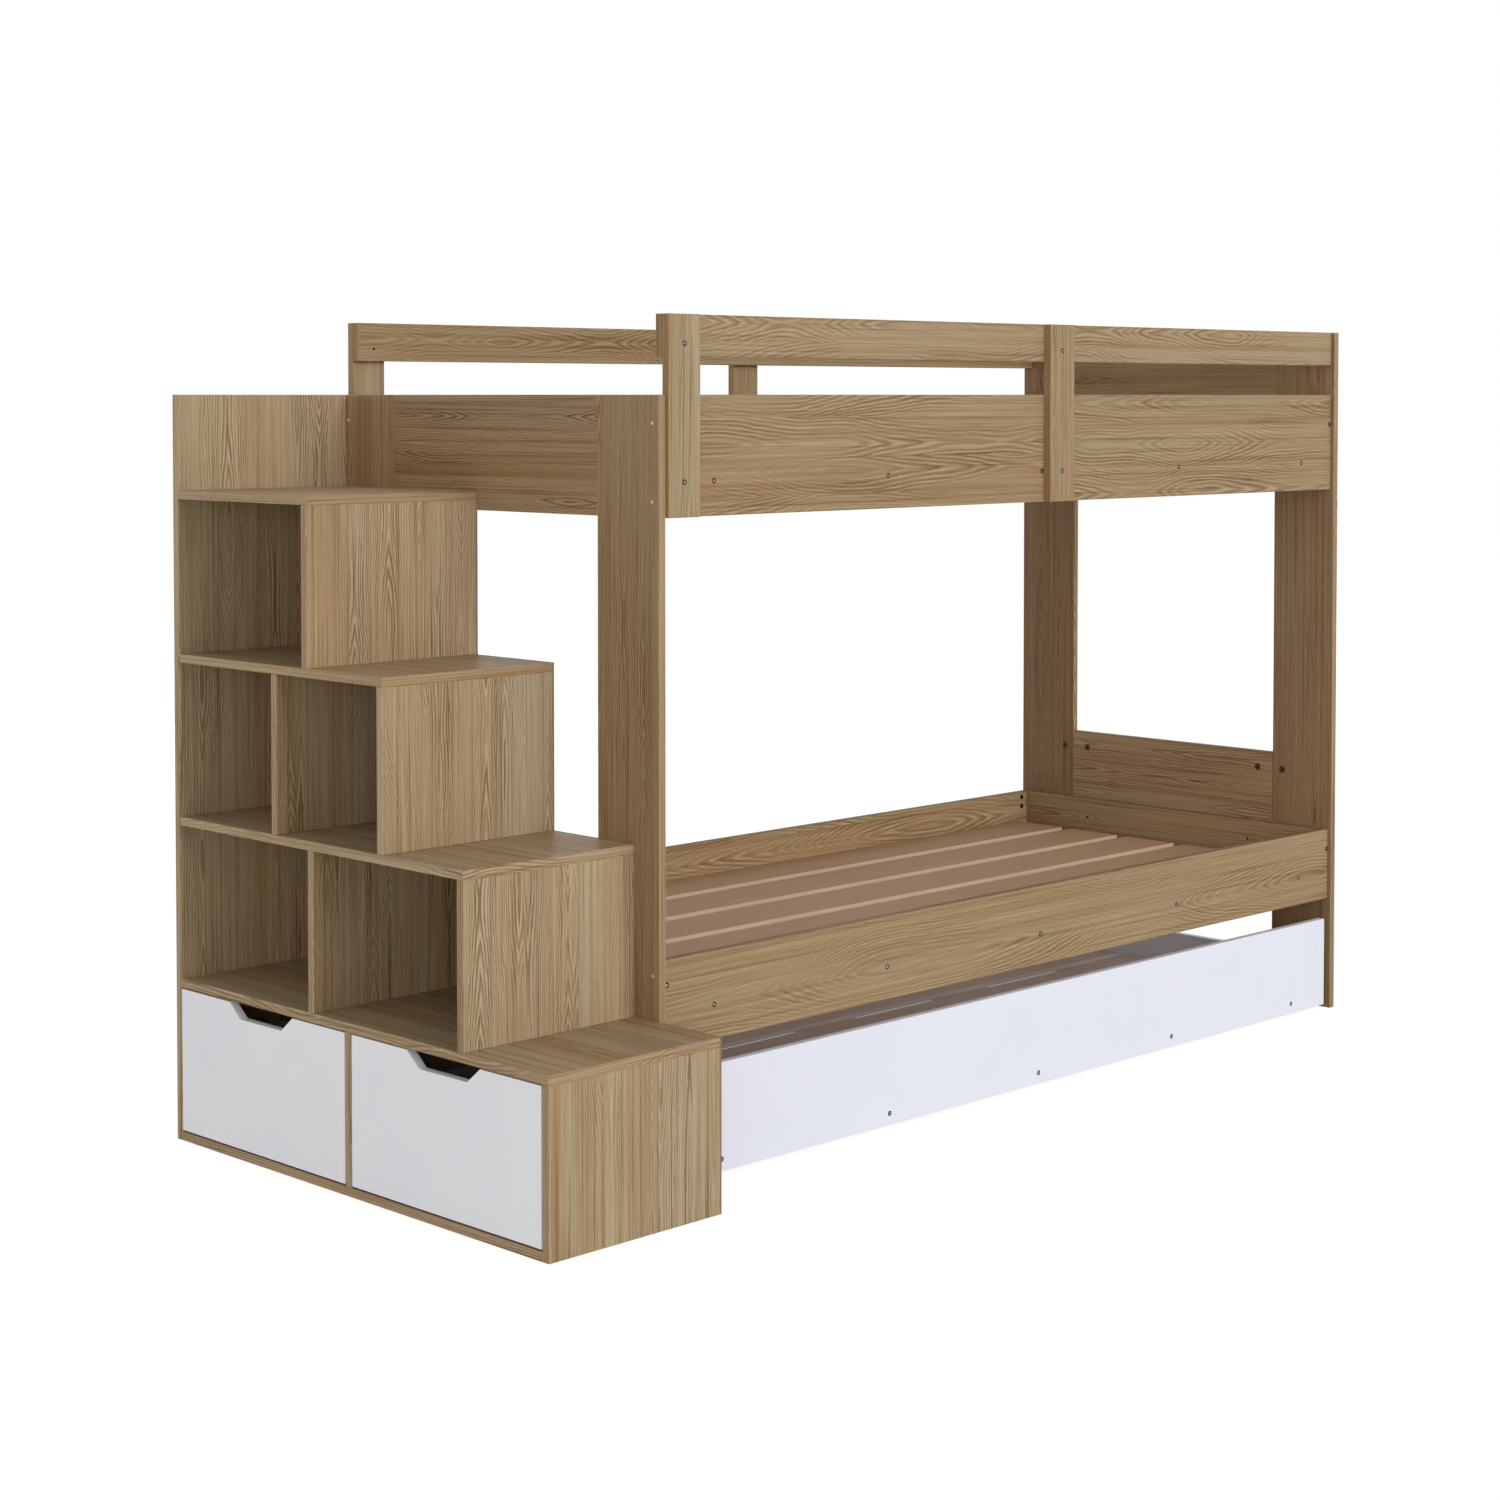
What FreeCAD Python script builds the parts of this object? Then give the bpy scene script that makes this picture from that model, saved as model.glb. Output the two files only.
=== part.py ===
import FreeCAD, Part
import os
import re
import Sketcher

# Bunk bed with a storage stair on its left end, two drawers in the stair's foot and a roll-out
# trundle below. +X runs along the bed away from the stair, -Y is the open long side, +Z is up.
# The origin is on the floor, under the middle of the whole outline. All sizes are millimetres.

SIZES = {
    # board stock
    "panel": 15,                  # every oak board
    "sheet": 3,                   # hardboard back of the stair and drawer bottoms
    "edge_break": 0.8,            # eased edge of the banded boards
    # bed outline
    "bed_length": 1920,
    "bed_depth": 822,
    "post_width": 145,
    "tall_post_height": 1400,     # far end; the other posts end with the upper planks
    "side_inset": 8,              # long boards stand back from the posts' edges
    "plank_height": 195,
    "lower_plank_top": 520,
    "plank_split": 1004,          # joint of the two lengths, from the bed's left face
    "guard_rail_height": 68,
    "guard_gap": 60,              # between plank and guard rail
    "guard_board_width": 70,
    "lower_rail_base": 228,
    "lower_rail_height": 145,
    # slatted decks
    "support_first": 129.5,       # first cross support's middle, from the bed's left face
    "support_last": 121.3,        # last one's middle, from the bed's right face
    "support_width": 60,
    "support_height": 30,
    "support_rise": 56.5,         # support's middle above the long board's lower edge
    "slat_width": 127,
    "slat_thickness": 8,
    "slat_front_gap": 37,         # front slat to the long board
    "slat_margin": 2,             # slats' left ends to the inner end rail
    "slat_end_gap": 30,           # slats' right ends to the inner end rail
    # stair
    "stair_width": 353,
    "stair_depth": 970,
    "step_rise": 277.5,
    "step_going": 196.5,
    # drawers
    "drawer_gap": 2,              # drawer front to the boards beside and above it
    "drawer_lift": 3.5,           # drawer front to the board below it
    "drawer_travel_room": 15,     # box end to the stair's hardboard back
    "drawer_side": 12,
    "drawer_side_height": 150,
    "drawer_side_gap": 12.7,
    "groove_rise": 8,
    "groove_depth": 5,
    "groove_gap": 0.2,
    "grip_top": 177,
    "grip_bottom": 116,
    "grip_depth": 25,
    "grip_round": 6,
    # drawer slides
    "slide_setback": 2,
    "slide_end_gap": 18,          # slide's rear end to the drawer's rear end
    "slide_metal": 1.2,
    "slide_lift": 8,              # channel above the board below it
    "channel_height": 22,
    "channel_depth": 10.5,
    "slide_play": 0.4,            # lip above the channel's lower flange
    "lip_start": 3.5,             # lip's edge from the opening's wall
    "ledge_width": 11,            # ledge under the drawer side
    "slide_plate_height": 26,
    # trundle
    "trundle_gap": 10,            # to the posts, each side
    "trundle_ground": 8,
    "trundle_front_height": 179,
    "trundle_side_height": 100,
    "trundle_support_first": 121.2,
    "trundle_support_last": 120.4,
    "trundle_support_width": 125,
    "trundle_support_rise": 12.5,
    "trundle_slat_gap": 1,
    "trundle_slat_front_gap": 45,
    # trundle wheels
    "wheel_diameter": 32,
    "wheel_width": 14,
    "wheel_round": 2,
    "hub_diameter": 13,
    "hub_recess": 1.5,
    "axle_diameter": 6,
    "axle_play": 0.08,
    "axle_head_diameter": 10,
    "axle_head": 2,
    "wheel_side_play": 0.6,
    "bracket_thickness": 2.5,
    "bracket_width": 36,
    "bracket_top_gap": 1.5,       # below the slats
    "bracket_corner": 6,          # cut off each upper corner
    "wheel_inset": 90,            # wheel centre to the trundle's front and back boards
}

# Places that many pieces share.
BED_LEFT = "((stair_width - bed_length) / 2)"
BED_RIGHT = "((stair_width + bed_length) / 2)"
BED_BACK = "(stair_depth / 2 - panel + side_inset)"
BED_FRONT = f"({BED_BACK} - bed_depth)"
STAIR_LEFT = "(-(stair_width + bed_length) / 2)"
STAIR_FRONT = "(-stair_depth / 2)"
PLANK_TOP = "(tall_post_height - guard_rail_height - guard_gap)"
PLANK_BASE = f"({PLANK_TOP} - plank_height)"
RAIL_LINE = f"({BED_FRONT} + side_inset)"
BACK_LINE = f"({BED_BACK} - side_inset - panel)"
DECK_DEPTH = "(bed_depth - 2 * side_inset - 2 * panel)"

SUPPORTS = 5
SLATS = 5
STEPS = 4

ALIAS = re.compile(r"\b(" + "|".join(sorted(SIZES, key=len, reverse=True)) + r")\b")

doc = FreeCAD.newDocument("BunkBed")
nodes = []


def make_sheet():
    """Spreadsheet of the driving sizes, one alias each."""
    sheet = doc.addObject("Spreadsheet::Sheet", "Sizes")
    for row, (name, value) in enumerate(SIZES.items(), start=1):
        sheet.set(f"A{row}", name)
        sheet.set(f"B{row}", str(value))
        sheet.setAlias(f"B{row}", name)
    doc.recompute()


def bind(thing, prop, formula):
    """Tie one property to a formula in the sheet's names."""
    thing.setExpression(prop, ALIAS.sub(r"Sizes.\1", str(formula)))


def put(thing, place):
    """Tie the three coordinates of a placement."""
    for axis, formula in zip("xyz", place):
        bind(thing, f".Placement.Base.{axis}", formula)


def node(thing, label):
    """Register a finished sub-part under the name of its file."""
    thing.Label = label
    nodes.append(thing)
    return thing


def group(label, pieces):
    """Several separate solids that share one node."""
    compound = doc.addObject("Part::Compound", label)
    compound.Links = pieces
    return node(compound, label)


def make_body(name, place):
    body = doc.addObject("PartDesign::Body", name)
    put(body, place)
    return body


def make_sketch(body, role, offset=0):
    """Sketch on one of the body's own origin planes, or parallel to it."""
    sketch = body.newObject("Sketcher::SketchObject", f"{body.Name}_sketch")
    plane = next(f for f in body.Origin.OriginFeatures if f.Role == role)
    sketch.AttachmentSupport = [(plane, "")]
    sketch.MapMode = "FlatFace"
    if offset:
        bind(sketch, ".AttachmentOffset.Base.z", offset)
    return sketch


def fix_point(sketch, geometry, corner, across, up):
    """Dimension one point of the sketch from its origin; a zero lies on the axis."""
    for kind, axis, formula in (("DistanceX", -2, across), ("DistanceY", -1, up)):
        if str(formula) == "0":
            sketch.addConstraint(Sketcher.Constraint("PointOnObject", geometry, corner, axis))
        else:
            sketch.addConstraint(Sketcher.Constraint(kind, -1, 1, geometry, corner, 1.0))
            bind(sketch, f"Constraints[{sketch.ConstraintCount - 1}]", formula)


def outline(sketch, corners):
    """Closed outline through corners, each given by its two formulas."""
    count = len(corners)
    rough = [(10.0 * i, 7.0 * (i % 3)) for i in range(count)]
    for i in range(count):
        start, end = rough[i], rough[(i + 1) % count]
        line = Part.LineSegment(FreeCAD.Vector(*start, 0), FreeCAD.Vector(*end, 0))
        sketch.addGeometry(line, False)
    for i in range(count):
        sketch.addConstraint(Sketcher.Constraint("Coincident", i, 2, (i + 1) % count, 1))
    for i, (across, up) in enumerate(corners):
        fix_point(sketch, i, 1, across, up)


def pad(body, sketch, length):
    feature = body.newObject("PartDesign::Pad", f"{body.Name}_pad")
    feature.Profile = sketch
    bind(feature, "Length", length)
    sketch.Visibility = False
    return feature


def ease_edges(body, feature):
    """Small chamfer on every edge of the last feature."""
    doc.recompute()
    chamfer = body.newObject("PartDesign::Chamfer", f"{body.Name}_edges")
    chamfer.Base = (feature, [f"Edge{i + 1}" for i in range(len(feature.Shape.Edges))])
    bind(chamfer, "Size", "edge_break")
    return chamfer


def board(name, size, place, eased=True):
    """Rectangular board: size and place are three formulas each."""
    body = make_body(name, place)
    sketch = make_sketch(body, "XY_Plane")
    length, depth, height = size
    outline(sketch, [(0, 0), (length, 0), (length, depth), (0, depth)])
    feature = pad(body, sketch, height)
    if eased:
        ease_edges(body, feature)
    return body


# ---------------------------------------------------------------- bed frame

def make_posts():
    right = f"{BED_RIGHT} - panel"
    back = f"{BED_BACK} - post_width"
    posts = (
        ("left_front_post", BED_LEFT, BED_FRONT, PLANK_TOP),
        ("left_back_post", BED_LEFT, back, PLANK_TOP),
        ("right_front_post", right, BED_FRONT, "tall_post_height"),
        ("right_back_post", right, back, "tall_post_height"),
    )
    for name, x, y, height in posts:
        node(board(name, ("panel", "post_width", height), (x, y, 0)), name)


def make_end_planks():
    width = "bed_depth - 2 * post_width"
    y = f"{BED_FRONT} + post_width"
    right = f"{BED_RIGHT} - panel"
    low = "lower_plank_top - plank_height"
    tall = f"tall_post_height - {PLANK_BASE}"
    node(board("left_upper_end_plank", ("panel", width, "plank_height"),
               (BED_LEFT, y, PLANK_BASE)), "left_upper_end_plank")
    node(board("left_lower_end_plank", ("panel", width, "plank_height"),
               (BED_LEFT, y, low)), "left_lower_end_plank")
    node(board("right_upper_end_plank", ("panel", width, tall),
               (right, y, PLANK_BASE)), "right_upper_end_plank")
    node(board("right_lower_end_plank", ("panel", width, "plank_height"), (right, y, low)),
         "right_lower_end_plank")


def halves():
    """Name, start and length of the two lengths that make a long upper board."""
    return (("left", "panel", "plank_split - panel"),
            ("right", "plank_split", "bed_length - panel - plank_split"))


def make_long_planks():
    for side, line in (("front", RAIL_LINE), ("back", BACK_LINE)):
        for half, start, length in halves():
            name = f"{side}_upper_plank_{half}"
            node(board(name, (length, "panel", "plank_height"),
                       (f"{BED_LEFT} + {start}", line, PLANK_BASE)), name)


def make_guard_rails():
    base = "tall_post_height - guard_rail_height"
    for side, line in (("front", RAIL_LINE), ("back", BACK_LINE)):
        group(f"{side}_guard_rails",
              [board(f"{side}_guard_rail", (length, "panel", "guard_rail_height"),
                     (f"{BED_LEFT} + {start}", line, base)) for half, start, length in halves()])


def make_guard_boards():
    """Upright boards that carry the guard rails, outside the planks."""
    height = f"tall_post_height - {PLANK_BASE}"
    starts = (f"{BED_LEFT} + panel", f"{BED_LEFT} + plank_split - guard_board_width / 2")
    for side, y in (("front", f"{RAIL_LINE} - panel"), ("back", f"{BACK_LINE} + panel")):
        group(f"{side}_guard_boards",
              [board(f"{side}_guard_board", ("guard_board_width", "panel", height),
                     (x, y, PLANK_BASE)) for x in starts])


def make_lower_rails():
    length = "bed_length - 2 * panel"
    for name, line in (("front_lower_rail", RAIL_LINE), ("back_lower_rail", BACK_LINE)):
        node(board(name, (length, "panel", "lower_rail_height"),
                   (f"{BED_LEFT} + panel", line, "lower_rail_base")), name)
    for name, x in (("left_inner_end_rail", f"{BED_LEFT} + panel"),
                    ("right_inner_end_rail", f"{BED_RIGHT} - 2 * panel")):
        node(board(name, ("panel", DECK_DEPTH, "lower_rail_height"),
                   (x, f"{RAIL_LINE} + panel", "lower_rail_base")), name)


def make_deck(prefix, base):
    """Five cross supports and five lengthwise slats of one bed, above its boards' lower edge."""
    supports, slats = [], []
    pitch = f"(bed_length - support_first - support_last) / {SUPPORTS - 1}"
    slat_pitch = f"({DECK_DEPTH} - slat_front_gap - slat_width) / {SLATS - 1}"
    length = "bed_length - 4 * panel - slat_margin - slat_end_gap"
    for i in range(SUPPORTS):
        middle = f"{BED_LEFT} + support_first + {i} * {pitch}"
        supports.append(board(f"{prefix}_support",
                              ("support_width", DECK_DEPTH, "support_height"),
                              (f"{middle} - support_width / 2", f"{RAIL_LINE} + panel",
                               f"{base} + support_rise - support_height / 2"), eased=False))
    group(f"{prefix}_cross_supports", supports)
    for i in range(SLATS):
        slats.append(board(f"{prefix}_slat", (length, "slat_width", "slat_thickness"),
                           (f"{BED_LEFT} + 2 * panel + slat_margin",
                            f"{BACK_LINE} - slat_width - {i} * {slat_pitch}",
                            f"{base} + support_rise + support_height / 2")))
    group(f"{prefix}_slats", slats)


# ---------------------------------------------------------------- stair

BOARD_WIDTH = "(stair_width - sheet)"
STAIR_BACK = "(stair_depth / 2 - panel)"
OPENING = "((stair_depth - 3 * panel) / 2)"
STEP_CLEAR = "(step_rise - panel)"


def step_front(i):
    """Face of riser i, counted from 0."""
    return f"({STAIR_FRONT} + {i} * step_going)"


def make_stair():
    node(board("stair_back_panel", ("stair_width", "panel", PLANK_TOP),
               (STAIR_LEFT, STAIR_BACK, 0)), "stair_back_panel")
    node(board("stair_base_board", (BOARD_WIDTH, "stair_depth - 2 * panel", "panel"),
               (STAIR_LEFT, f"{STAIR_FRONT} + panel", 0)), "stair_base_board")
    for i in range(STEPS):
        riser, tread = f"stair_riser_{i + 1}", f"stair_tread_{i + 1}"
        node(board(riser, (BOARD_WIDTH, "panel", STEP_CLEAR),
                   (STAIR_LEFT, step_front(i), f"{i} * step_rise")), riser)
        node(board(tread, (BOARD_WIDTH, f"{STAIR_BACK} - {step_front(i)}", "panel"),
                   (STAIR_LEFT, step_front(i), f"{i + 1} * step_rise - panel")), tread)
    group("stair_dividers", [make_divider(0, "panel", "step_rise - 2 * panel"),
                             make_divider(1, "step_rise", STEP_CLEAR),
                             make_divider(2, "2 * step_rise", STEP_CLEAR)])


def make_divider(i, base, height):
    """Upright board in the middle of a row of compartments."""
    middle = f"({step_front(i)} + panel + {STAIR_BACK}) / 2"
    return board(f"stair_divider_{i + 1}", (BOARD_WIDTH, "panel", height),
                 (STAIR_LEFT, f"{middle} - panel / 2", base))


def make_stair_sheet():
    """Hardboard that closes the stair towards the bed, cut to the steps."""
    body = make_body("stair_back_sheet", (f"{STAIR_LEFT} + {BOARD_WIDTH}", STAIR_FRONT, 0))
    sketch = make_sketch(body, "YZ_Plane")
    run = "stair_depth - panel"
    corners = [(0, 0), (run, 0), (run, f"{STEPS} * step_rise")]
    for i in range(STEPS - 1, 0, -1):
        corners += [(f"{i} * step_going", f"{i + 1} * step_rise"),
                    (f"{i} * step_going", f"{i} * step_rise")]
    corners.append((0, "step_rise"))
    outline(sketch, corners)
    pad(body, sketch, "sheet")
    node(body, "stair_back_sheet")


# ---------------------------------------------------------------- drawers

DRAWER_WIDTH = f"({OPENING} - 2 * drawer_gap)"
DRAWER_HEIGHT = "(step_rise - 2 * panel - drawer_lift - drawer_gap)"
BOX_LENGTH = f"({BOARD_WIDTH} - panel - drawer_travel_room)"
LEDGE_BASE = "(panel + slide_lift + slide_metal + slide_play)"
BOX_BASE = f"({LEDGE_BASE} + slide_metal)"


def opening_start(i):
    """Front wall of drawer opening i: 0 at the stair's foot, 1 at the wall side."""
    return f"({STAIR_FRONT} + panel + {i} * ({OPENING} + panel))"


def make_drawer_front(name, start):
    """White front with a finger grip cut into its top edge."""
    body = make_body(name, (STAIR_LEFT, f"{start} + drawer_gap", "panel + drawer_lift"))
    sketch = make_sketch(body, "YZ_Plane")
    middle = f"{DRAWER_WIDTH} / 2"
    floor = f"{DRAWER_HEIGHT} - grip_depth"
    outline(sketch, [(0, 0), (DRAWER_WIDTH, 0), (DRAWER_WIDTH, DRAWER_HEIGHT),
                     (f"{middle} + grip_top / 2", DRAWER_HEIGHT),
                     (f"{middle} + grip_bottom / 2", floor),
                     (f"{middle} - grip_bottom / 2", floor),
                     (f"{middle} - grip_top / 2", DRAWER_HEIGHT), (0, DRAWER_HEIGHT)])
    feature = pad(body, sketch, "panel")
    doc.recompute()
    corners = [f"Edge{i + 1}" for i, edge in enumerate(feature.Shape.Edges)
               if is_grip_corner(edge)]
    fillet = body.newObject("PartDesign::Fillet", f"{name}_grip")
    fillet.Base = (feature, corners)
    bind(fillet, "Radius", "grip_round")
    return node(body, name)


def is_grip_corner(edge):
    """An edge through the board's thickness at the bottom of the grip."""
    ends = [vertex.Point for vertex in edge.Vertexes]
    crosses = abs(ends[0].x - ends[-1].x) > SIZES["panel"] / 2
    height = SIZES["step_rise"] - 2 * SIZES["panel"] - SIZES["drawer_lift"] - SIZES["drawer_gap"]
    return crosses and abs(ends[0].z - (height - SIZES["grip_depth"])) < 0.01


def make_drawer_side(name, place, groove_on_far_face):
    """Side board with the groove of the bottom, drawn as a profile and run along X."""
    body = make_body(name, place)
    sketch = make_sketch(body, "YZ_Plane")
    low, high = "groove_rise", "groove_rise + sheet + 2 * groove_gap"
    if groove_on_far_face:
        face, floor = "drawer_side", "drawer_side - groove_depth"
        corners = [(0, 0), (face, 0), (face, low), (floor, low), (floor, high), (face, high),
                   (face, "drawer_side_height"), (0, "drawer_side_height")]
    else:
        face, floor = 0, "groove_depth"
        corners = [(0, 0), ("drawer_side", 0), ("drawer_side", "drawer_side_height"),
                   (0, "drawer_side_height"), (face, high), (floor, high), (floor, low),
                   (face, low)]
    outline(sketch, corners)
    pad(body, sketch, BOX_LENGTH)
    return body


def make_drawer(name, i):
    start = opening_start(i)
    x = f"{STAIR_LEFT} + panel"
    near = f"{start} + drawer_side_gap"
    far = f"{start} + {OPENING} - drawer_side_gap - drawer_side"
    inner = f"({OPENING} - 2 * drawer_side_gap - 2 * drawer_side)"
    bottom_z = f"{BOX_BASE} + groove_rise + groove_gap"
    make_drawer_front(f"{name}_front", start)
    group(f"{name}_sides", [make_drawer_side(f"{name}_side", (x, near, BOX_BASE), True),
                            make_drawer_side(f"{name}_side", (x, far, BOX_BASE), False)])
    rise = "(groove_rise + sheet + 2 * groove_gap)"
    node(board(f"{name}_back", ("drawer_side", inner, f"drawer_side_height - {rise}"),
               (f"{x} + {BOX_LENGTH} - drawer_side", f"{near} + drawer_side",
                f"{BOX_BASE} + {rise}"), eased=False), f"{name}_back")
    tongue = "(groove_depth - groove_gap)"
    node(board(f"{name}_bottom", (BOX_LENGTH, f"{inner} + 2 * {tongue}", "sheet"),
               (x, f"{near} + drawer_side - {tongue}", bottom_z), eased=False),
         f"{name}_bottom")


def slide_body(name, wall, turned):
    """Body of a slide profile: sketched from the opening's wall, mirrored at its far wall."""
    place = (f"{STAIR_LEFT} + panel + slide_setback", wall, "panel + slide_lift")
    body = make_body(name, place)
    sign = "-1 * " if turned else ""
    return body, make_sketch(body, "YZ_Plane"), sign


def run_slide(body, sketch, sign, corners):
    """Steel profile, each corner given by its distance from the wall and its height."""
    outline(sketch, [(f"{sign}({across})" if str(across) != "0" else 0, up)
                     for across, up in corners])
    pad(body, sketch, f"{BOX_LENGTH} - slide_setback - slide_end_gap")
    return body


def make_channel(wall, turned):
    """Fixed C channel, open towards the drawer."""
    body, sketch, sign = slide_body("slide_channel", wall, turned)
    top = "channel_height"
    return run_slide(body, sketch, sign,
                     [(0, 0), ("channel_depth", 0), ("channel_depth", "slide_metal"),
                      ("slide_metal", "slide_metal"), ("slide_metal", f"{top} - slide_metal"),
                      ("channel_depth", f"{top} - slide_metal"), ("channel_depth", top),
                      (0, top)])


def make_ledge(wall, turned):
    """Drawer's part of the slide: a lip in the channel, a ledge under the side and a plate."""
    body, sketch, sign = slide_body("slide_ledge", wall, turned)
    low, side = "slide_metal + slide_play", "drawer_side_gap"
    high = f"{low} + slide_metal"
    plate = f"{side} - slide_metal"
    return run_slide(body, sketch, sign,
                     [("lip_start", low), (f"{side} + ledge_width", low),
                      (f"{side} + ledge_width", high), (side, high),
                      (side, "slide_plate_height"), (plate, "slide_plate_height"),
                      (plate, high), ("lip_start", high)])


def make_slides():
    channels = []
    for i, name in enumerate(("front_drawer", "rear_drawer")):
        walls = ((opening_start(i), False), (f"({opening_start(i)} + {OPENING})", True))
        channels += [make_channel(*wall) for wall in walls]
        group(f"{name}_slides", [make_ledge(*wall) for wall in walls])
    group("drawer_slide_channels", channels)


# ---------------------------------------------------------------- trundle

TRUNDLE_LEFT = f"({BED_LEFT} + panel + trundle_gap)"
TRUNDLE_LENGTH = "(bed_length - 2 * panel - 2 * trundle_gap)"
TRUNDLE_DEPTH = "(bed_depth - side_inset)"
TRUNDLE_INNER = f"({TRUNDLE_DEPTH} - 2 * panel)"
SUPPORT_TOP = "(trundle_ground + trundle_support_rise + panel)"


def make_trundle_boards():
    for name, y, height in (
            ("trundle_front", RAIL_LINE, "trundle_front_height"),
            ("trundle_back", f"{RAIL_LINE} + {TRUNDLE_DEPTH} - panel", "trundle_side_height")):
        node(board(name, (TRUNDLE_LENGTH, "panel", height),
                   (TRUNDLE_LEFT, y, "trundle_ground")), name)
    ends = (TRUNDLE_LEFT, f"{TRUNDLE_LEFT} + {TRUNDLE_LENGTH} - panel")
    group("trundle_sides",
          [board("trundle_side", ("panel", TRUNDLE_INNER, "trundle_side_height"),
                 (x, f"{RAIL_LINE} + panel", "trundle_ground")) for x in ends])


def make_trundle_deck():
    supports, slats = [], []
    reach = f"({TRUNDLE_LENGTH} - trundle_support_first - trundle_support_last)"
    slat_pitch = f"({TRUNDLE_INNER} - trundle_slat_front_gap - slat_width) / {SLATS - 1}"
    for i in range(SUPPORTS):
        middle = f"{TRUNDLE_LEFT} + trundle_support_first + {i} * {reach} / {SUPPORTS - 1}"
        supports.append(board("trundle_support",
                              ("trundle_support_width", TRUNDLE_INNER, "panel"),
                              (f"{middle} - trundle_support_width / 2", f"{RAIL_LINE} + panel",
                               "trundle_ground + trundle_support_rise"), eased=False))
    group("trundle_cross_supports", supports)
    for i in range(SLATS):
        slats.append(board("trundle_slat",
                           (f"{TRUNDLE_LENGTH} - 2 * panel - 2 * trundle_slat_gap",
                            "slat_width", "slat_thickness"),
                           (f"{TRUNDLE_LEFT} + panel + trundle_slat_gap",
                            f"{RAIL_LINE} + {TRUNDLE_DEPTH} - panel - slat_width"
                            f" - {i} * {slat_pitch}", SUPPORT_TOP)))
    group("trundle_slats", slats)


def revolve(body, sketch):
    """Full turn about the sketch's own horizontal axis."""
    feature = body.newObject("PartDesign::Revolution", f"{body.Name}_turn")
    feature.Profile = sketch
    feature.ReferenceAxis = (sketch, ["H_Axis"])
    feature.Angle = 360.0
    sketch.Visibility = False
    return feature


WHEEL_START = "(bracket_thickness + wheel_side_play)"
WHEEL_YS = (f"({RAIL_LINE} + panel + wheel_inset)",
            f"({RAIL_LINE} + {TRUNDLE_DEPTH} - panel - wheel_inset)")
FACES = ((f"({TRUNDLE_LEFT} + panel)", 0), (f"({TRUNDLE_LEFT} + {TRUNDLE_LENGTH} - panel)", 180))


def turn_about_z(thing, angle):
    thing.Placement.Rotation = FreeCAD.Rotation(FreeCAD.Vector(0, 0, 1), angle)


def make_wheel(name, place, angle):
    """Small solid wheel: dished faces round a hub, eased tread, running on its pin."""
    body = make_body(name, place)
    turn_about_z(body, angle)
    put(body, place)
    sketch = make_sketch(body, "XY_Plane")
    bore_radius, rim = "axle_diameter / 2 + axle_play", "wheel_diameter / 2"
    end = f"{WHEEL_START} + wheel_width"
    outline(sketch, [(WHEEL_START, bore_radius), (end, bore_radius),
                     (end, "hub_diameter / 2"), (f"{end} - hub_recess", f"{rim} - wheel_round"),
                     (f"{end} - wheel_round", rim), (f"{WHEEL_START} + wheel_round", rim),
                     (f"{WHEEL_START} + hub_recess", f"{rim} - wheel_round"),
                     (WHEEL_START, "hub_diameter / 2")])
    revolve(body, sketch)
    return node(body, name)


def make_bracket(place, angle):
    """Steel plate on the side board's inner face with the wheel's riveted pin."""
    body = make_body("wheel_bracket", place)
    turn_about_z(body, angle)
    put(body, place)
    sketch = make_sketch(body, "YZ_Plane")
    top = f"{SUPPORT_TOP} - bracket_top_gap - wheel_diameter / 2"
    low = "-(wheel_diameter / 2 - trundle_ground - 1)"
    half = "bracket_width / 2"
    outline(sketch, [(f"-{half}", low), (half, low), (half, f"{top} - bracket_corner"),
                     (f"{half} - bracket_corner", top), (f"-{half} + bracket_corner", top),
                     (f"-{half}", f"{top} - bracket_corner")])
    pad(body, sketch, "bracket_thickness")
    pin = make_sketch(body, "XY_Plane")
    tip = f"{WHEEL_START} + wheel_width + wheel_side_play"
    head = f"{tip} + axle_head"
    outline(pin, [(0, 0), (head, 0), (head, "axle_head_diameter / 2"),
                  (tip, "axle_head_diameter / 2"), (tip, "axle_diameter / 2"),
                  (0, "axle_diameter / 2")])
    revolve(body, pin)
    return body


def make_wheels():
    brackets = []
    for side, (x, angle) in zip(("left", "right"), FACES):
        for end, y in zip(("front", "back"), WHEEL_YS):
            place = (x, y, "wheel_diameter / 2")
            brackets.append(make_bracket(place, angle))
            make_wheel(f"{side}_{end}_wheel", place, angle)
    group("wheel_brackets", brackets)


# ---------------------------------------------------------------- build, check, write

def check_document():
    """Stop on any failed feature or empty sub-part."""
    doc.recompute()
    for thing in doc.Objects:
        if {"Invalid", "Error"} & set(thing.State):
            raise RuntimeError(f"{thing.Label} failed: {thing.State}")
    for thing in nodes:
        if thing.Shape.isNull() or not thing.Shape.isValid():
            raise RuntimeError(f"{thing.Label} has no sound shape")


def write_steps():
    os.makedirs("parts", exist_ok=True)
    for thing in nodes:
        thing.Shape.exportStep(f"parts/{thing.Label}.step")
    print(len(nodes), "sub-parts written")


make_sheet()
make_posts()
make_end_planks()
make_long_planks()
make_guard_rails()
make_guard_boards()
make_lower_rails()
make_deck("lower", "lower_rail_base")
make_deck("upper", PLANK_BASE)
make_stair()
make_stair_sheet()
make_drawer("front_drawer", 0)
make_drawer("rear_drawer", 1)
make_slides()
make_trundle_boards()
make_trundle_deck()
make_wheels()
check_document()
write_steps()
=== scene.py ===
import logging
import math
from dataclasses import dataclass, field
from enum import Enum
from typing import Optional, Sequence, Union

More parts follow.
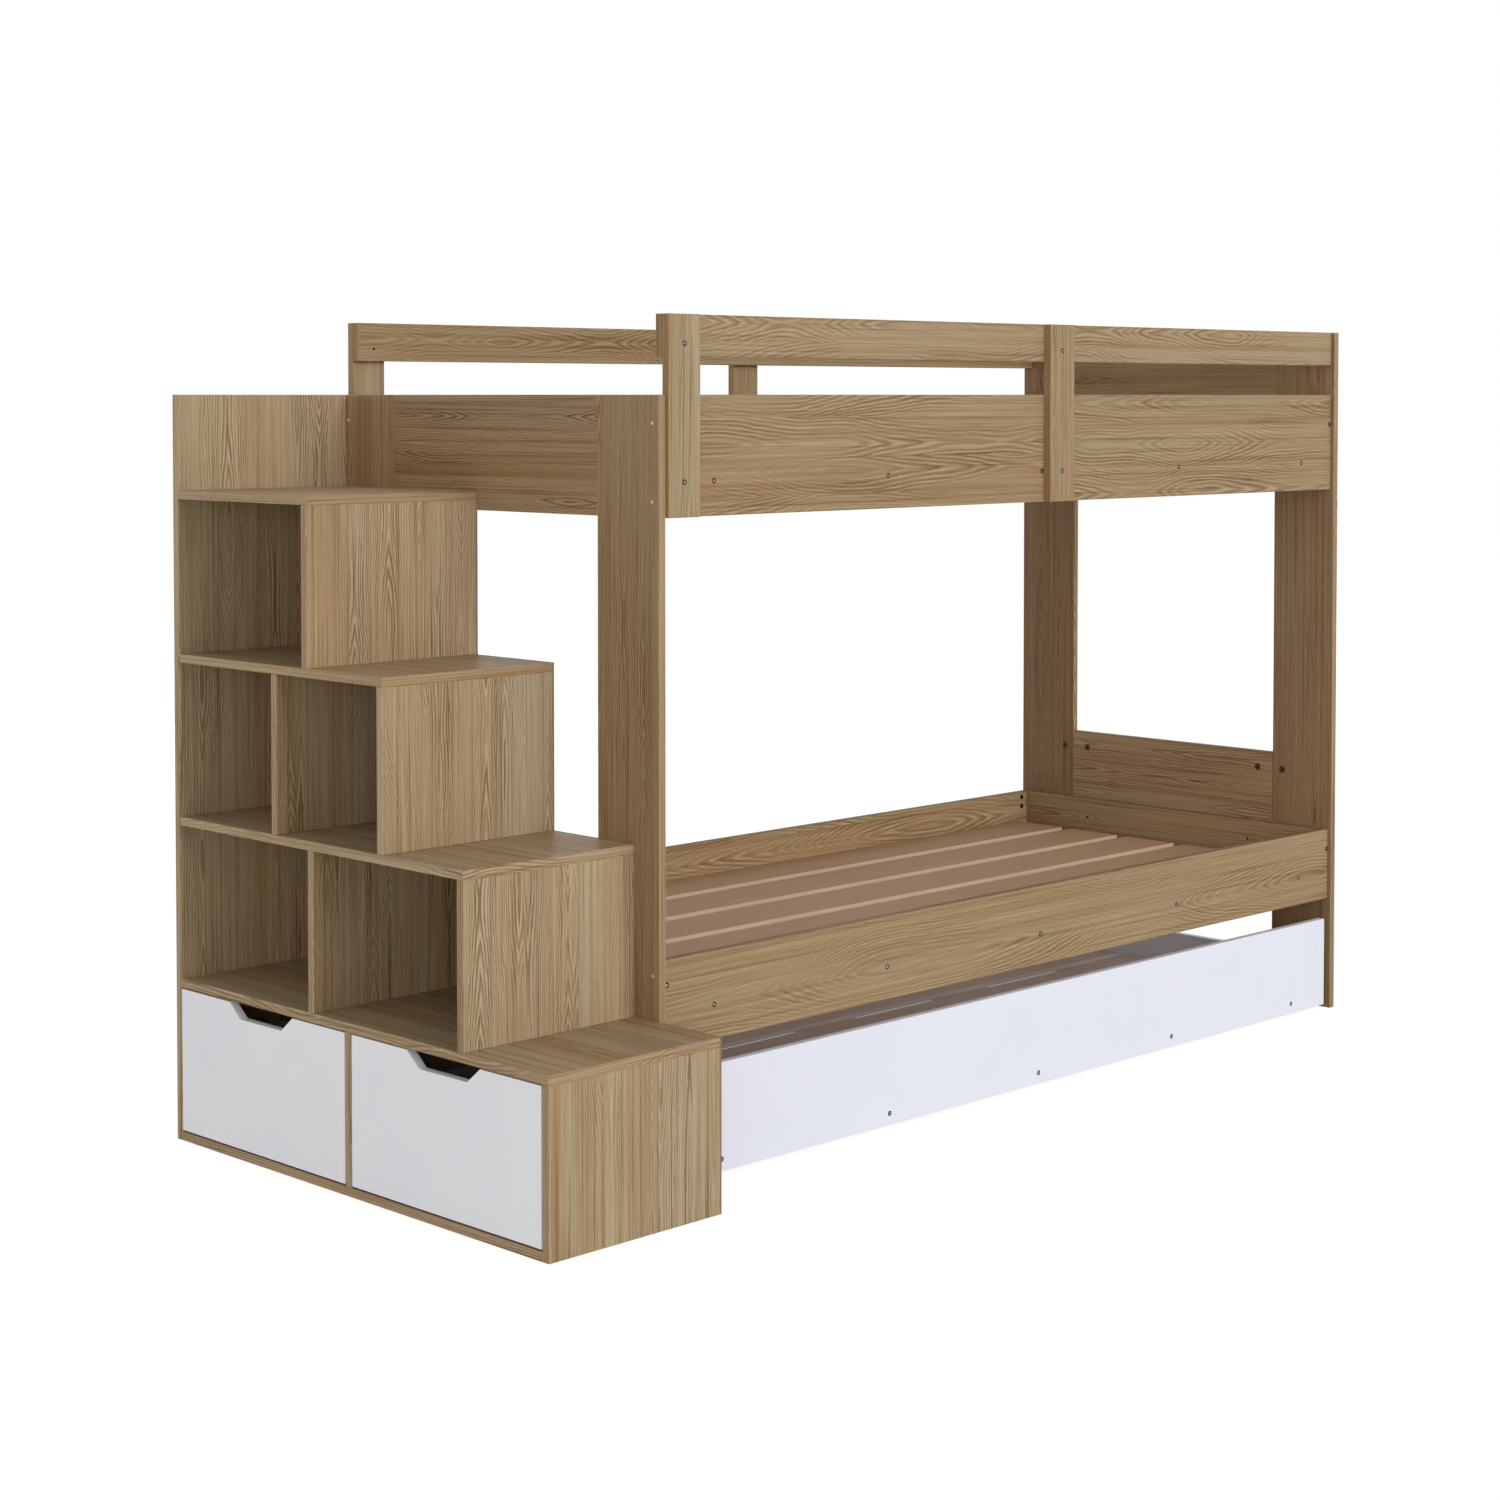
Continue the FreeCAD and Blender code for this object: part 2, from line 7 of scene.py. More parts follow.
import bpy
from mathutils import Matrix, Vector


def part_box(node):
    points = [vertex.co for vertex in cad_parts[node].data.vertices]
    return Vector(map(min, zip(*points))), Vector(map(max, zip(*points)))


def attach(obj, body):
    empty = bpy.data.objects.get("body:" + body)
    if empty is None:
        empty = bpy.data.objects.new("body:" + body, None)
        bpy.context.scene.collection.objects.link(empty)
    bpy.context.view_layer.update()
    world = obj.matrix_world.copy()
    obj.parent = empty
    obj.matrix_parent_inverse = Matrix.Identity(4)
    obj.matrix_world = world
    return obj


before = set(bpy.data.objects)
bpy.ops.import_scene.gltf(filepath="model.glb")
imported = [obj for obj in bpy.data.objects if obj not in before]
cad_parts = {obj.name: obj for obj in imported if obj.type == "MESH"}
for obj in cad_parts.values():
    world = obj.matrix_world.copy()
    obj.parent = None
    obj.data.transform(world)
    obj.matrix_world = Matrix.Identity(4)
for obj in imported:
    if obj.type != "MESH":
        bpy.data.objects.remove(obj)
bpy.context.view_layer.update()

log = logging.getLogger("bunk_bed")

Socket = bpy.types.NodeSocket
Value = Union[float, Socket]
Point = tuple[float, float, float]

MM = 0.001
WHITE = (1.0, 1.0, 1.0, 1.0)
FACE_ON = 0.9                 # least share of a board's broad direction on its broad faces


class Grain(Enum):
    """Row axes that a board's length, width and thickness follow."""

    X_UPRIGHT = ("X", "Z", "Y")
    X_FLAT = ("X", "Y", "Z")
    Y_UPRIGHT = ("Y", "Z", "X")
    Y_FLAT = ("Y", "X", "Z")
    Z_BROAD_X = ("Z", "X", "Y")
    Z_BROAD_Y = ("Z", "Y", "X")


class Facing(Enum):
    """Outward direction of a face that carries fixings."""

    FRONT = (0.0, -1.0, 0.0)
    WALL = (0.0, 1.0, 0.0)
    LEFT = (-1.0, 0.0, 0.0)
    RIGHT = (1.0, 0.0, 0.0)


def linear(red: int, green: int, blue: int) -> tuple[float, float, float, float]:
    """Turn a display colour into the linear colour that shaders take.

    Args:
        red, green, blue: The colour's parts, 0 to 255.

    Returns:
        Linear red, green, blue and an alpha of 1.
    """
    def one(part: int) -> float:
        """Linear value of one part."""
        share = part / 255.0
        return share / 12.92 if share <= 0.04045 else ((share + 0.055) / 1.055) ** 2.4
    return (one(red), one(green), one(blue), 1.0)


@dataclass(frozen=True)
class Layer:
    """Sizes of a noise that is drawn out along the grain."""

    along: float              # features to the metre along the grain
    across: float             # the same across the grain
    detail: float             # octaves
    level: float = 0.0        # keeps one such noise apart from the others
    rough: float = 0.55


class Tree:
    """Short-hand for writing one shader node tree."""

    def __init__(self, tree: bpy.types.NodeTree) -> None:
        """Keep the tree that is written."""
        self.tree = tree

    def node(self, kind: str, **settings: object) -> bpy.types.Node:
        """Add a node.

        Args:
            kind: The node's type name.
            settings: Properties set on it.

        Returns:
            The new node.
        """
        made = self.tree.nodes.new(kind)
        for name, value in settings.items():
            setattr(made, name, value)
        return made

    def feed(self, target: Socket, value: object) -> None:
        """Link a socket to a target, or write a plain value on it."""
        if isinstance(value, bpy.types.NodeSocket):
            self.tree.links.new(value, target)
        else:
            target.default_value = value

    def math(self, operation: str, *values: Value, clamp: bool = False) -> Socket:
        """Add a Math node.

        Args:
            operation: Its operation.
            values: Its inputs, sockets or numbers.
            clamp: Whether its result stays within 0 and 1.

        Returns:
            Its output.
        """
        made = self.node("ShaderNodeMath", operation=operation, use_clamp=clamp)
        for target, value in zip(made.inputs, values):
            self.feed(target, value)
        return made.outputs[0]

    def plus(self, first: Value, second: Value) -> Socket:
        """Sum of two values."""
        return self.math("ADD", first, second)

    def minus(self, first: Value, second: Value) -> Socket:
        """Difference of two values."""
        return self.math("SUBTRACT", first, second)

    def times(self, first: Value, second: Value) -> Socket:
        """Product of two values."""
        return self.math("MULTIPLY", first, second)

    def apart(self, value: Value, middle: float) -> Socket:
        """Distance of a value from a middle."""
        return self.math("ABSOLUTE", self.minus(value, middle))

    def beyond(self, value: Value, limit: float) -> Socket:
        """1 where a value lies further from 0 than a limit, else 0."""
        return self.math("GREATER_THAN", self.math("ABSOLUTE", value), limit)

    def total(self, *parts: tuple[Value, float]) -> Socket:
        """Weighted sum of values that aren't below 0, held within 0 and 1."""
        result: Value = 0.0
        for value, weight in parts:
            result = self.math("ADD", result, self.times(value, weight), clamp=True)
        return result

    def ramp(self, value: Value, low: float, high: float,
             start: float = 0.0, end: float = 1.0) -> Socket:
        """Smoothly map a value from low..high to start..end and hold it outside."""
        made = self.node("ShaderNodeMapRange", interpolation_type="SMOOTHSTEP")
        self.fill(made, {"Value": value, "From Min": low, "From Max": high, "To Min": start,
                         "To Max": end})
        return made.outputs["Result"]

    def vector(self, x: Value, y: Value, z: Value) -> Socket:
        """Join three values into a vector."""
        made = self.node("ShaderNodeCombineXYZ")
        for target, value in zip(made.inputs, (x, y, z)):
            self.feed(target, value)
        return made.outputs[0]

    def parts(self, vector: Socket) -> tuple[Socket, Socket, Socket]:
        """Split a vector into its three values."""
        made = self.node("ShaderNodeSeparateXYZ")
        self.feed(made.inputs[0], vector)
        return tuple(made.outputs)

    def noise(self, place: Socket, scale: float = 1.0, detail: float = 2.0,
              rough: float = 0.5) -> Socket:
        """Noise of a place, about 0.5 on the mean.

        Args:
            place: Where it is read.
            scale: Its scale.
            detail: Its octaves.
            rough: How much the finer octaves count.

        Returns:
            The noise's socket.
        """
        made = self.node("ShaderNodeTexNoise")
        self.fill(made, {"Vector": place, "Scale": scale, "Detail": detail, "Roughness": rough})
        return made.outputs["Fac"]

    def drawn(self, run: Socket, width: Socket, layer: Layer,
              level: Optional[Socket] = None) -> Socket:
        """Noise drawn out along the grain.

        Args:
            run: Distance along the grain.
            width: Distance across the grain.
            layer: The noise's sizes.
            level: Stands in for the layer's own level.

        Returns:
            The noise.
        """
        place = self.vector(self.times(run, layer.along), self.times(width, layer.across),
                            layer.level if level is None else level)
        return self.noise(place, 1.0, layer.detail, layer.rough)

    def mix(self, share: Value, first: object, second: object, blend: str = "MIX") -> Socket:
        """Mix two colours.

        Args:
            share: How much of the second.
            first, second: Colours or sockets.
            blend: The blend type.

        Returns:
            The mixed colour.
        """
        made = self.node("ShaderNodeMix", data_type="RGBA", blend_type=blend)
        self.feed(made.inputs["Factor"], share)
        self.feed(made.inputs[6], first)
        self.feed(made.inputs[7], second)
        return made.outputs[2]

    def bump(self, height: Socket, depth: float) -> Socket:
        """Bump normal of a height that counts for depth metres."""
        made = self.node("ShaderNodeBump")
        self.fill(made, {"Strength": 1.0, "Distance": depth, "Height": height})
        return made.outputs["Normal"]

    def fill(self, node: bpy.types.Node, values: dict[str, object]) -> None:
        """Feed several inputs of a node by their names."""
        for name, value in values.items():
            self.feed(node.inputs[name], value)


def clear_tree(owner: Union[bpy.types.Material, bpy.types.World]) -> Tree:
    """Give a material or a world an empty node tree."""
    owner.use_nodes = True
    owner.node_tree.nodes.clear()
    return Tree(owner.node_tree)


@dataclass(frozen=True)
class Lie:
    """How a board lies and where its part of a pattern starts, in metres."""

    grain: Grain
    offset: Point


class Finish:
    """Look of one material."""

    def paint(self, tree: Tree, lie: Optional[Lie]) -> dict[str, object]:
        """Write the look's nodes and give the shader's inputs by their names."""
        raise NotImplementedError

    def material(self, name: str, lie: Optional[Lie] = None) -> bpy.types.Material:
        """Make the material.

        Args:
            name: The material's name.
            lie: How the board lies, for looks that follow a grain.

        Returns:
            The material.
        """
        material = bpy.data.materials.new(name)
        tree = clear_tree(material)
        shader = tree.node("ShaderNodeBsdfPrincipled")
        tree.feed(tree.node("ShaderNodeOutputMaterial").inputs["Surface"], shader.outputs[0])
        tree.fill(shader, self.paint(tree, lie))
        return material


def board_axes(tree: Tree, lie: Lie) -> tuple[Socket, Socket]:
    """Read a board's own axes: along the grain, across it and through it.

    Args:
        tree: The material's tree.
        lie: How the board lies.

    Returns:
        The place and the outward direction, both in board axes.
    """
    made = tree.node("ShaderNodeTexCoord")
    order = ["XYZ".index(axis) for axis in lie.grain.value]
    place = tree.parts(made.outputs["Object"])
    facing = tree.parts(made.outputs["Normal"])
    moved = [tree.plus(place[axis], shift) for axis, shift in zip(order, lie.offset)]
    return tree.vector(*moved), tree.vector(*(facing[axis] for axis in order))


class OakPrintGroup:
    """Node group that draws the oak print of the coated boards and of their edge bands."""

    NAME = "oak_print"
    INPUTS = (("Vector", "Place Facing"), ("Color", "Pale Warm Line Light Band"),
              ("Float", "Strip Ring Stretch Heart"))
    OUTPUTS = (("Color", "Color"), ("Float", "Height Roughness"))
    END_ON = 0.6              # least share of the grain's direction on a sawn end
    EDGE_SHIFT = 0.317        # keeps the print of the edges off that of the faces
    STREAK = Layer(0.9, 120.0, 2.0)
    THREAD = Layer(3.0, 330.0, 3.0, 4.0)
    FIBRE = Layer(14.0, 900.0, 2.0, 7.0)
    PORE = Layer(45.0, 1500.0, 1.0, 3.0)
    SOFT = Layer(0.45, 17.0, 1.0, 5.0)
    WANDER = Layer(0.8, 3.0, 1.0, 9.0)
    RAGGED = Layer(40.0, 420.0, 1.0, 1.0)
    PATCHY = Layer(2.4, 12.0, 1.0, 5.0)
    BEND = 0.010              # sideways wander of the strips, in metres
    ASIDE = 0.07              # shift of a heart out of the strips that show none, in metres
    POINTED = 1.3             # power of an arch's sides
    BROAD = 4.0               # half width of an arch's first ring, in rings
    REACH = 56.0              # rings that the hearts rise through along the grain

    def __init__(self) -> None:
        """Build the group once."""
        self.group = bpy.data.node_groups.new(self.NAME, "ShaderNodeTree")
        for way, sockets in (("INPUT", self.INPUTS), ("OUTPUT", self.OUTPUTS)):
            for kind, names in sockets:
                for name in names.split():
                    self.group.interface.new_socket(name=name, in_out=way,
                                                    socket_type=f"NodeSocket{kind}")
        self.tree = Tree(self.group)
        self.given = self.tree.node("NodeGroupInput").outputs
        self.write()

    def write(self) -> None:
        """Write the print: strips, year rings with hearts, streaks, fibres and pores."""
        t, given = self.tree, self.given
        along, across, through = t.parts(given["Place"])
        n_along, _, n_through = t.parts(given["Facing"])
        on_face = t.beyond(n_through, FACE_ON)
        on_end = t.beyond(n_along, self.END_ON)
        run = self.choose(on_face, self.choose(on_end, along, across), along)
        width = self.choose(on_face, t.plus(through, self.EDGE_SHIFT), across)
        local, tint = self.strips(run, width)
        dark, light = self.rings(run, width, local, tint)
        streak = t.drawn(run, width, self.STREAK, t.times(tint[2], 9.0))
        thread, fibre, pore, soft = (t.drawn(run, width, layer) for layer in (
            self.THREAD, self.FIBRE, self.PORE, self.SOFT))
        warmth = t.total((t.ramp(tint[0], 0.25, 0.75), 0.62), (t.ramp(soft, 0.36, 0.64), 0.38))
        base = t.mix(warmth, given["Pale"], given["Warm"])
        deep = t.total((dark, 0.80), (t.ramp(streak, 0.53, 0.66), 0.26),
                       (t.ramp(thread, 0.54, 0.64), 0.40), (t.ramp(fibre, 0.5, 0.8), 0.22),
                       (t.ramp(pore, 0.62, 0.76), 0.34), (t.ramp(tint[1], 0.2, 0.9), 0.08))
        high = t.total((light, 0.85), (t.ramp(streak, 0.46, 0.34), 0.28),
                       (t.ramp(thread, 0.45, 0.35), 0.52), (t.ramp(tint[1], 0.8, 0.1), 0.06))
        oak = t.mix(deep, t.mix(high, base, given["Light"]), given["Line"])
        t.fill(t.node("NodeGroupOutput"), {
            "Color": t.mix(on_face, t.mix(1.0, oak, given["Band"], "MULTIPLY"), oak),
            "Height": t.minus(1.0, deep),
            "Roughness": t.ramp(deep, 0.0, 1.0, 0.44, 0.62)})

    def choose(self, switch: Socket, when_off: Socket, when_on: Socket) -> Socket:
        """One of two values by a switch of 0 or 1."""
        made = self.tree.node("ShaderNodeMix", data_type="FLOAT")
        for place, value in ((0, switch), (2, when_off), (3, when_on)):
            self.tree.feed(made.inputs[place], value)
        return made.outputs[0]

    def strips(self, run: Socket, width: Socket) -> tuple[Socket, tuple[Socket, ...]]:
        """Uneven strips that the print is laid out in.

        Args:
            run: Distance along the grain.
            width: Distance across the grain.

        Returns:
            The distance from the strip's middle and three random values of the strip.
        """
        t, size = self.tree, self.given["Strip"]
        wander = t.drawn(run, width, self.WANDER)
        bent = t.plus(width, t.times(t.minus(wander, 0.5), self.BEND))
        cells = t.node("ShaderNodeTexVoronoi", voronoi_dimensions="1D", feature="F1")
        t.fill(cells, {"W": t.math("DIVIDE", bent, size), "Scale": 1.0, "Randomness": 0.8})
        local = t.minus(bent, t.times(cells.outputs["W"], size))
        split = t.node("ShaderNodeSeparateColor")
        t.feed(split.inputs[0], cells.outputs["Color"])
        return local, tuple(split.outputs)

    def rings(self, run: Socket, width: Socket, local: Socket,
              tint: Sequence[Socket]) -> tuple[Socket, Socket]:
        """Year rings: long pointed arches in the strips that hold a heart, else straight lines.

        Args:
            run: Distance along the grain.
            width: Distance across the grain.
            local: Distance from the strip's middle.
            tint: The strip's random values.

        Returns:
            Strength of the dark late wood and of the pale early wood.
        """
        t, ring, stretch = self.tree, self.given["Ring"], self.given["Stretch"]
        phase, slowed = t.times(tint[1], 37.0), t.times(run, stretch)
        slow = t.noise(t.vector(slowed, phase, 0.0), 1.0, 1.5, 0.4)
        depth = t.times(slow, t.math("DIVIDE", t.times(ring, self.REACH), stretch))
        wave = t.noise(t.vector(t.times(slowed, 3.6), t.times(t.math("DIVIDE", width, ring), 0.30),
                                phase), 1.0, 2.0, 0.6)
        side = t.times(t.math("GREATER_THAN", tint[2], self.given["Heart"]), self.ASIDE)
        shifted = t.plus(t.plus(local, side), t.times(t.times(ring, 1.5), t.minus(wave, 0.5)))
        aside = t.math("DIVIDE", t.math("ABSOLUTE", shifted), t.times(ring, self.BROAD))
        arch = t.times(t.math("POWER", aside, self.POINTED), self.BROAD)
        ragged = t.drawn(run, width, self.RAGGED)
        count = t.plus(t.plus(arch, t.math("DIVIDE", depth, ring)), t.times(ragged, 0.4))
        share = t.math("FRACT", count)
        late = t.times(t.ramp(share, 0.30, 0.78), t.ramp(share, 0.84, 1.0, 1.0, 0.0))
        early = t.times(t.ramp(share, 0.0, 0.14), t.ramp(share, 0.16, 0.44, 1.0, 0.0))
        between = t.apart(t.math("FRACT", t.times(count, 2.73)), 0.5)
        dark = t.plus(t.times(late, 0.86), t.times(between, 0.30))
        strong = t.noise(t.vector(t.times(count, 0.55), phase, 2.0), 1.0, 1.0)
        patchy = t.drawn(run, width, self.PATCHY)
        power = t.times(t.ramp(strong, 0.30, 0.62, 0.30, 1.0), t.ramp(patchy, 0.38, 0.62, 0.16, 1.0))
        power = t.times(power, t.ramp(arch, 9.0, 3.0, 0.5, 1.0))
        return t.times(dark, power), t.times(early, power)


@dataclass(frozen=True)
class OakFinish(Finish):
    """Oak-print coating of one board."""

    pale: tuple[int, int, int] = (172, 155, 123)
    warm: tuple[int, int, int] = (168, 139, 102)
    line: tuple[int, int, int] = (118, 88, 56)
    light: tuple[int, int, int] = (192, 173, 143)
    # Edge band tint: partly the band's own colour, partly painted light and shade on the board's
    # edges.
    edge: Point = (0.99, 0.95, 0.90)
    # Darkens the whole board as painted shade below 1 and lifts it as painted light above 1, set for
    # how light falls on that board.
    painted_shading: float = 1.0
    # Makes the board's painted shade warmer by taking out more green and blue.
    warmth: float = 0.0
    strip: float = 0.050
    ring: float = 0.0060
    stretch: float = 2.2
    heart: float = 0.88
    gloss: float = 0.30
    relief: float = 0.00005

    def tint(self) -> Point:
        """Share of red, green and blue left by the board's painted shade and light, with the painted
        shade made warmer.
        """
        return (self.painted_shading, self.painted_shading * (1.0 - 0.12 * self.warmth),
                self.painted_shading * (1.0 - 0.24 * self.warmth))

    def draw(self, tree: Tree, lie: Lie) -> tuple[bpy.types.Node, Socket]:
        """Add the shared print in this finish's colours.

        Args:
            tree: The material's tree.
            lie: How the board lies.

        Returns:
            The group node and the outward direction in board axes.
        """
        place, facing = board_axes(tree, lie)
        group = bpy.data.node_groups[OakPrintGroup.NAME]
        oak = tree.node("ShaderNodeGroup", node_tree=group)
        tint = self.tint()
        tree.fill(oak, {"Place": place, "Facing": facing, "Strip": self.strip, "Ring": self.ring,
                        "Stretch": self.stretch, "Heart": self.heart,
                        "Band": (*(e / s for e, s in zip(self.edge, tint)), 1.0)})
        for name, colour in (("Pale", self.pale), ("Warm", self.warm), ("Line", self.line),
                             ("Light", self.light)):
            parts = zip(linear(*colour), tint)
            tree.feed(oak.inputs[name], (*(part * share for part, share in parts), 1.0))
        return oak, facing

    def paint(self, tree: Tree, lie: Optional[Lie]) -> dict[str, object]:
        """Write the print."""
        oak, _ = self.draw(tree, lie)
        return {"Base Color": oak.outputs["Color"], "Roughness": oak.outputs["Roughness"],
                "Normal": tree.bump(oak.outputs["Height"], self.relief),
                "IOR": 1.45, "Specular IOR Level": self.gloss}


@dataclass(frozen=True)
class SlatFinish(Finish):
    """Plain, slightly pink wood of the slats, paler on its sawn edges: partly the cut wood's own
    paler colour, partly a painted highlight for the light the edges catch.
    """

    flat: tuple[int, int, int] = (185, 151, 118)
    vein: tuple[int, int, int] = (168, 133, 102)
    edge: tuple[int, int, int] = (228, 198, 174)
    speck: tuple[int, int, int] = (158, 122, 96)
    fibre: Layer = Layer(5.0, 330.0, 4.0, 0.0, 0.6)
    cloud: Layer = Layer(1.6, 14.0, 2.0, 2.0, 0.5)
    fleck: Layer = Layer(60.0, 900.0, 1.0, 5.0, 0.5)
    relief: float = 0.00012

    def paint(self, tree: Tree, lie: Optional[Lie]) -> dict[str, object]:
        """Write the wood."""
        place, facing = board_axes(tree, lie)
        along, across, _ = tree.parts(place)
        on_face = tree.beyond(tree.parts(facing)[2], FACE_ON)
        fibre, cloud, fleck = (tree.drawn(along, across, layer) for layer in (
            self.fibre, self.cloud, self.fleck))
        share = tree.total((tree.ramp(fibre, 0.35, 0.75), 0.55), (cloud, 0.5))
        wood = tree.mix(share, linear(*self.flat), linear(*self.vein))
        wood = tree.mix(tree.times(tree.ramp(fleck, 0.66, 0.8), 0.35), wood, linear(*self.speck))
        # The sawn edges' paler colour is partly a painted highlight.
        sawn = tree.mix(tree.times(share, 0.35), linear(*self.edge), linear(*self.vein))
        return {"Base Color": tree.mix(on_face, sawn, wood),
                "Roughness": tree.ramp(fibre, 0.2, 0.8, 0.6, 0.78),
                "Normal": tree.bump(fibre, self.relief), "Specular IOR Level": 0.25}


@dataclass(frozen=True)
class CoatedFinish(Finish):
    """Smooth coating with a faint texture: white boards, powder coat or moulded plastic."""

    colour: tuple[int, int, int]
    shadow: tuple[int, int, int]
    rough: tuple[float, float] = (0.34, 0.46)
    grain_size: float = 900.0
    relief: float = 0.00002
    specular: float = 0.4

    def paint(self, tree: Tree, lie: Optional[Lie]) -> dict[str, object]:
        """Write the coating."""
        place = tree.node("ShaderNodeTexCoord").outputs["Object"]
        peel = tree.noise(place, self.grain_size, 2.0)
        cloud = tree.noise(place, 6.0, 3.0)
        share = tree.total((tree.ramp(cloud, 0.35, 0.75), 0.7), (tree.ramp(peel, 0.4, 0.7), 0.3))
        return {"Base Color": tree.mix(share, linear(*self.colour), linear(*self.shadow)),
                "Roughness": tree.ramp(cloud, 0.3, 0.7, *self.rough),
                "Normal": tree.bump(peel, self.relief), "Specular IOR Level": self.specular}


@dataclass(frozen=True)
class MetalFinish(Finish):
    """Plated steel with fine drawn lines."""

    colour: tuple[int, int, int] = (196, 199, 202)
    worn: tuple[int, int, int] = (140, 143, 148)
    rough: tuple[float, float] = (0.22, 0.42)
    stretch: Point = (60.0, 900.0, 900.0)
    relief: float = 0.00001

    def paint(self, tree: Tree, lie: Optional[Lie]) -> dict[str, object]:
        """Write the plating."""
        place = tree.node("ShaderNodeTexCoord").outputs["Object"]
        turn = tree.node("ShaderNodeMapping")
        tree.fill(turn, {"Vector": place, "Scale": self.stretch})
        drawn = tree.noise(turn.outputs[0], 1.0, 3.0)
        spangle = tree.noise(place, 160.0, 2.0)
        share = tree.total((drawn, 0.5), (tree.ramp(spangle, 0.4, 0.7), 0.5))
        return {"Base Color": tree.mix(share, linear(*self.colour), linear(*self.worn)),
                "Roughness": tree.ramp(drawn, 0.3, 0.7, *self.rough),
                "Normal": tree.bump(drawn, self.relief), "Metallic": 1.0}


@dataclass(frozen=True)
class HardboardFinish(Finish):
    """Thin fibreboard: oak print on one side, bare brown fibre on the other."""

    printed: float            # 1 or -1, the side of the sheet's own normal that is printed
    fibre: tuple[int, int, int] = (156, 128, 98)
    dark: tuple[int, int, int] = (134, 106, 78)
    mesh: float = 3600.0      # pressing screen's pattern, in radians to the metre
    relief: float = 0.00004

    def bare(self, tree: Tree) -> tuple[Socket, Socket]:
        """Colour and height of the bare side, with the screen pattern of its pressing."""
        place = tree.node("ShaderNodeTexCoord").outputs["Object"]
        _, across, up = tree.parts(place)
        clumps = tree.noise(place, 90.0, 4.0, 0.7)
        hairs = tree.noise(place, 620.0, 2.0)
        weave = tree.times(*(tree.math("SINE", tree.times(way, self.mesh)) for way in (across, up)))
        share = tree.total((tree.ramp(clumps, 0.3, 0.75), 0.6), (tree.ramp(hairs, 0.5, 0.8), 0.4))
        return tree.mix(share, linear(*self.fibre), linear(*self.dark)), weave

    def paint(self, tree: Tree, lie: Optional[Lie]) -> dict[str, object]:
        """Write both sides."""
        oak, facing = OakFinish().draw(tree, lie)
        through = tree.times(tree.parts(facing)[2], self.printed)
        side = tree.math("GREATER_THAN", through, FACE_ON)
        colour, height = self.bare(tree)
        return {"Base Color": tree.mix(side, colour, oak.outputs["Color"]),
                "Normal": tree.bump(height, self.relief),
                "Roughness": tree.ramp(side, 0.0, 1.0, 0.85, 0.5), "Specular IOR Level": 0.25}


class Finishes:
    """Materials that several sub-assemblies share."""

    def __init__(self) -> None:
        """Build the shared print and materials."""
        OakPrintGroup()
        # One white coating in two copies as painted light and shade: the drawers' copy is paler to
        # lift their shaded fronts, and the trundle's copy is darker for its lit front face.
        self.white = CoatedFinish((242, 241, 245), (239, 238, 243)).material("white_coating")
        self.front_white = CoatedFinish((236, 238, 247), (233, 235, 245)).material("front_coating")
        self.screw_steel = MetalFinish().material("screw_steel")
        self.plated = MetalFinish((188, 192, 196), (150, 154, 160), rough=(0.3, 0.5),
                                  stretch=(500.0, 500.0, 70.0)).material("plated_steel")
        # Painted shade: flat dark discs and bars of this colour stand where holes, bores, screw
        # rings and driver slots are in shade.
        self.painted_recess_shade = CoatedFinish((34, 28, 23), (20, 16, 13), rough=(0.6, 0.8),
                                   specular=0.1).material("recess_shadow")
        self.nylon = CoatedFinish((30, 30, 32), (20, 20, 22), rough=(0.36, 0.55),
                                  grain_size=500.0, relief=0.00005).material("black_nylon")
        self.coat = CoatedFinish((226, 226, 222), (214, 214, 210), rough=(0.3, 0.42),
                                 grain_size=1400.0, relief=0.00003,
                                 specular=0.5).material("powder_coat")
        self.cap = CoatedFinish((206, 184, 166), (190, 168, 150),
                                rough=(0.4, 0.5)).material("cover_cap")
        self.cam_face = CoatedFinish((118, 84, 56), (88, 60, 38), rough=(0.6, 0.75),
                                     specular=0.1).material("cam_face")


class Dresser:
    """Puts materials on CAD nodes."""

    GOLDEN = 0.6180339887     # spreads the shifts evenly

    def __init__(self, finishes: Finishes) -> None:
        """Keep the shared finishes and count the boards that were dressed."""
        self.finishes = finishes
        self.count = 0

    @staticmethod
    def assign(node: str, material: bpy.types.Material) -> None:
        """Give a CAD node one material."""
        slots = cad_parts[node].material_slots
        for slot in slots:
            slot.material = material
        if not slots:
            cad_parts[node].data.materials.append(material)

    def offset(self) -> Point:
        """A shift of the print that no other board has."""
        self.count += 1
        step = self.count * self.GOLDEN
        return (round(3.1 * self.count % 17.0, 4), round(step % 1.0 * 2.3, 4),
                round(0.0137 * self.count, 4))

    def boards(self, finish: OakFinish, grain: Grain, *nodes: str) -> None:
        """Dress oak boards that lie alike, each with its own part of the print."""
        for node in nodes:
            self.assign(node, finish.material(f"oak_{node}", Lie(grain, self.offset())))
            log.info("%s: oak print", node)

    def plain(self, material: bpy.types.Material, *nodes: str) -> None:
        """Dress nodes with one shared material."""
        for node in nodes:
            self.assign(node, material)
            log.info("%s: %s", node, material.name)


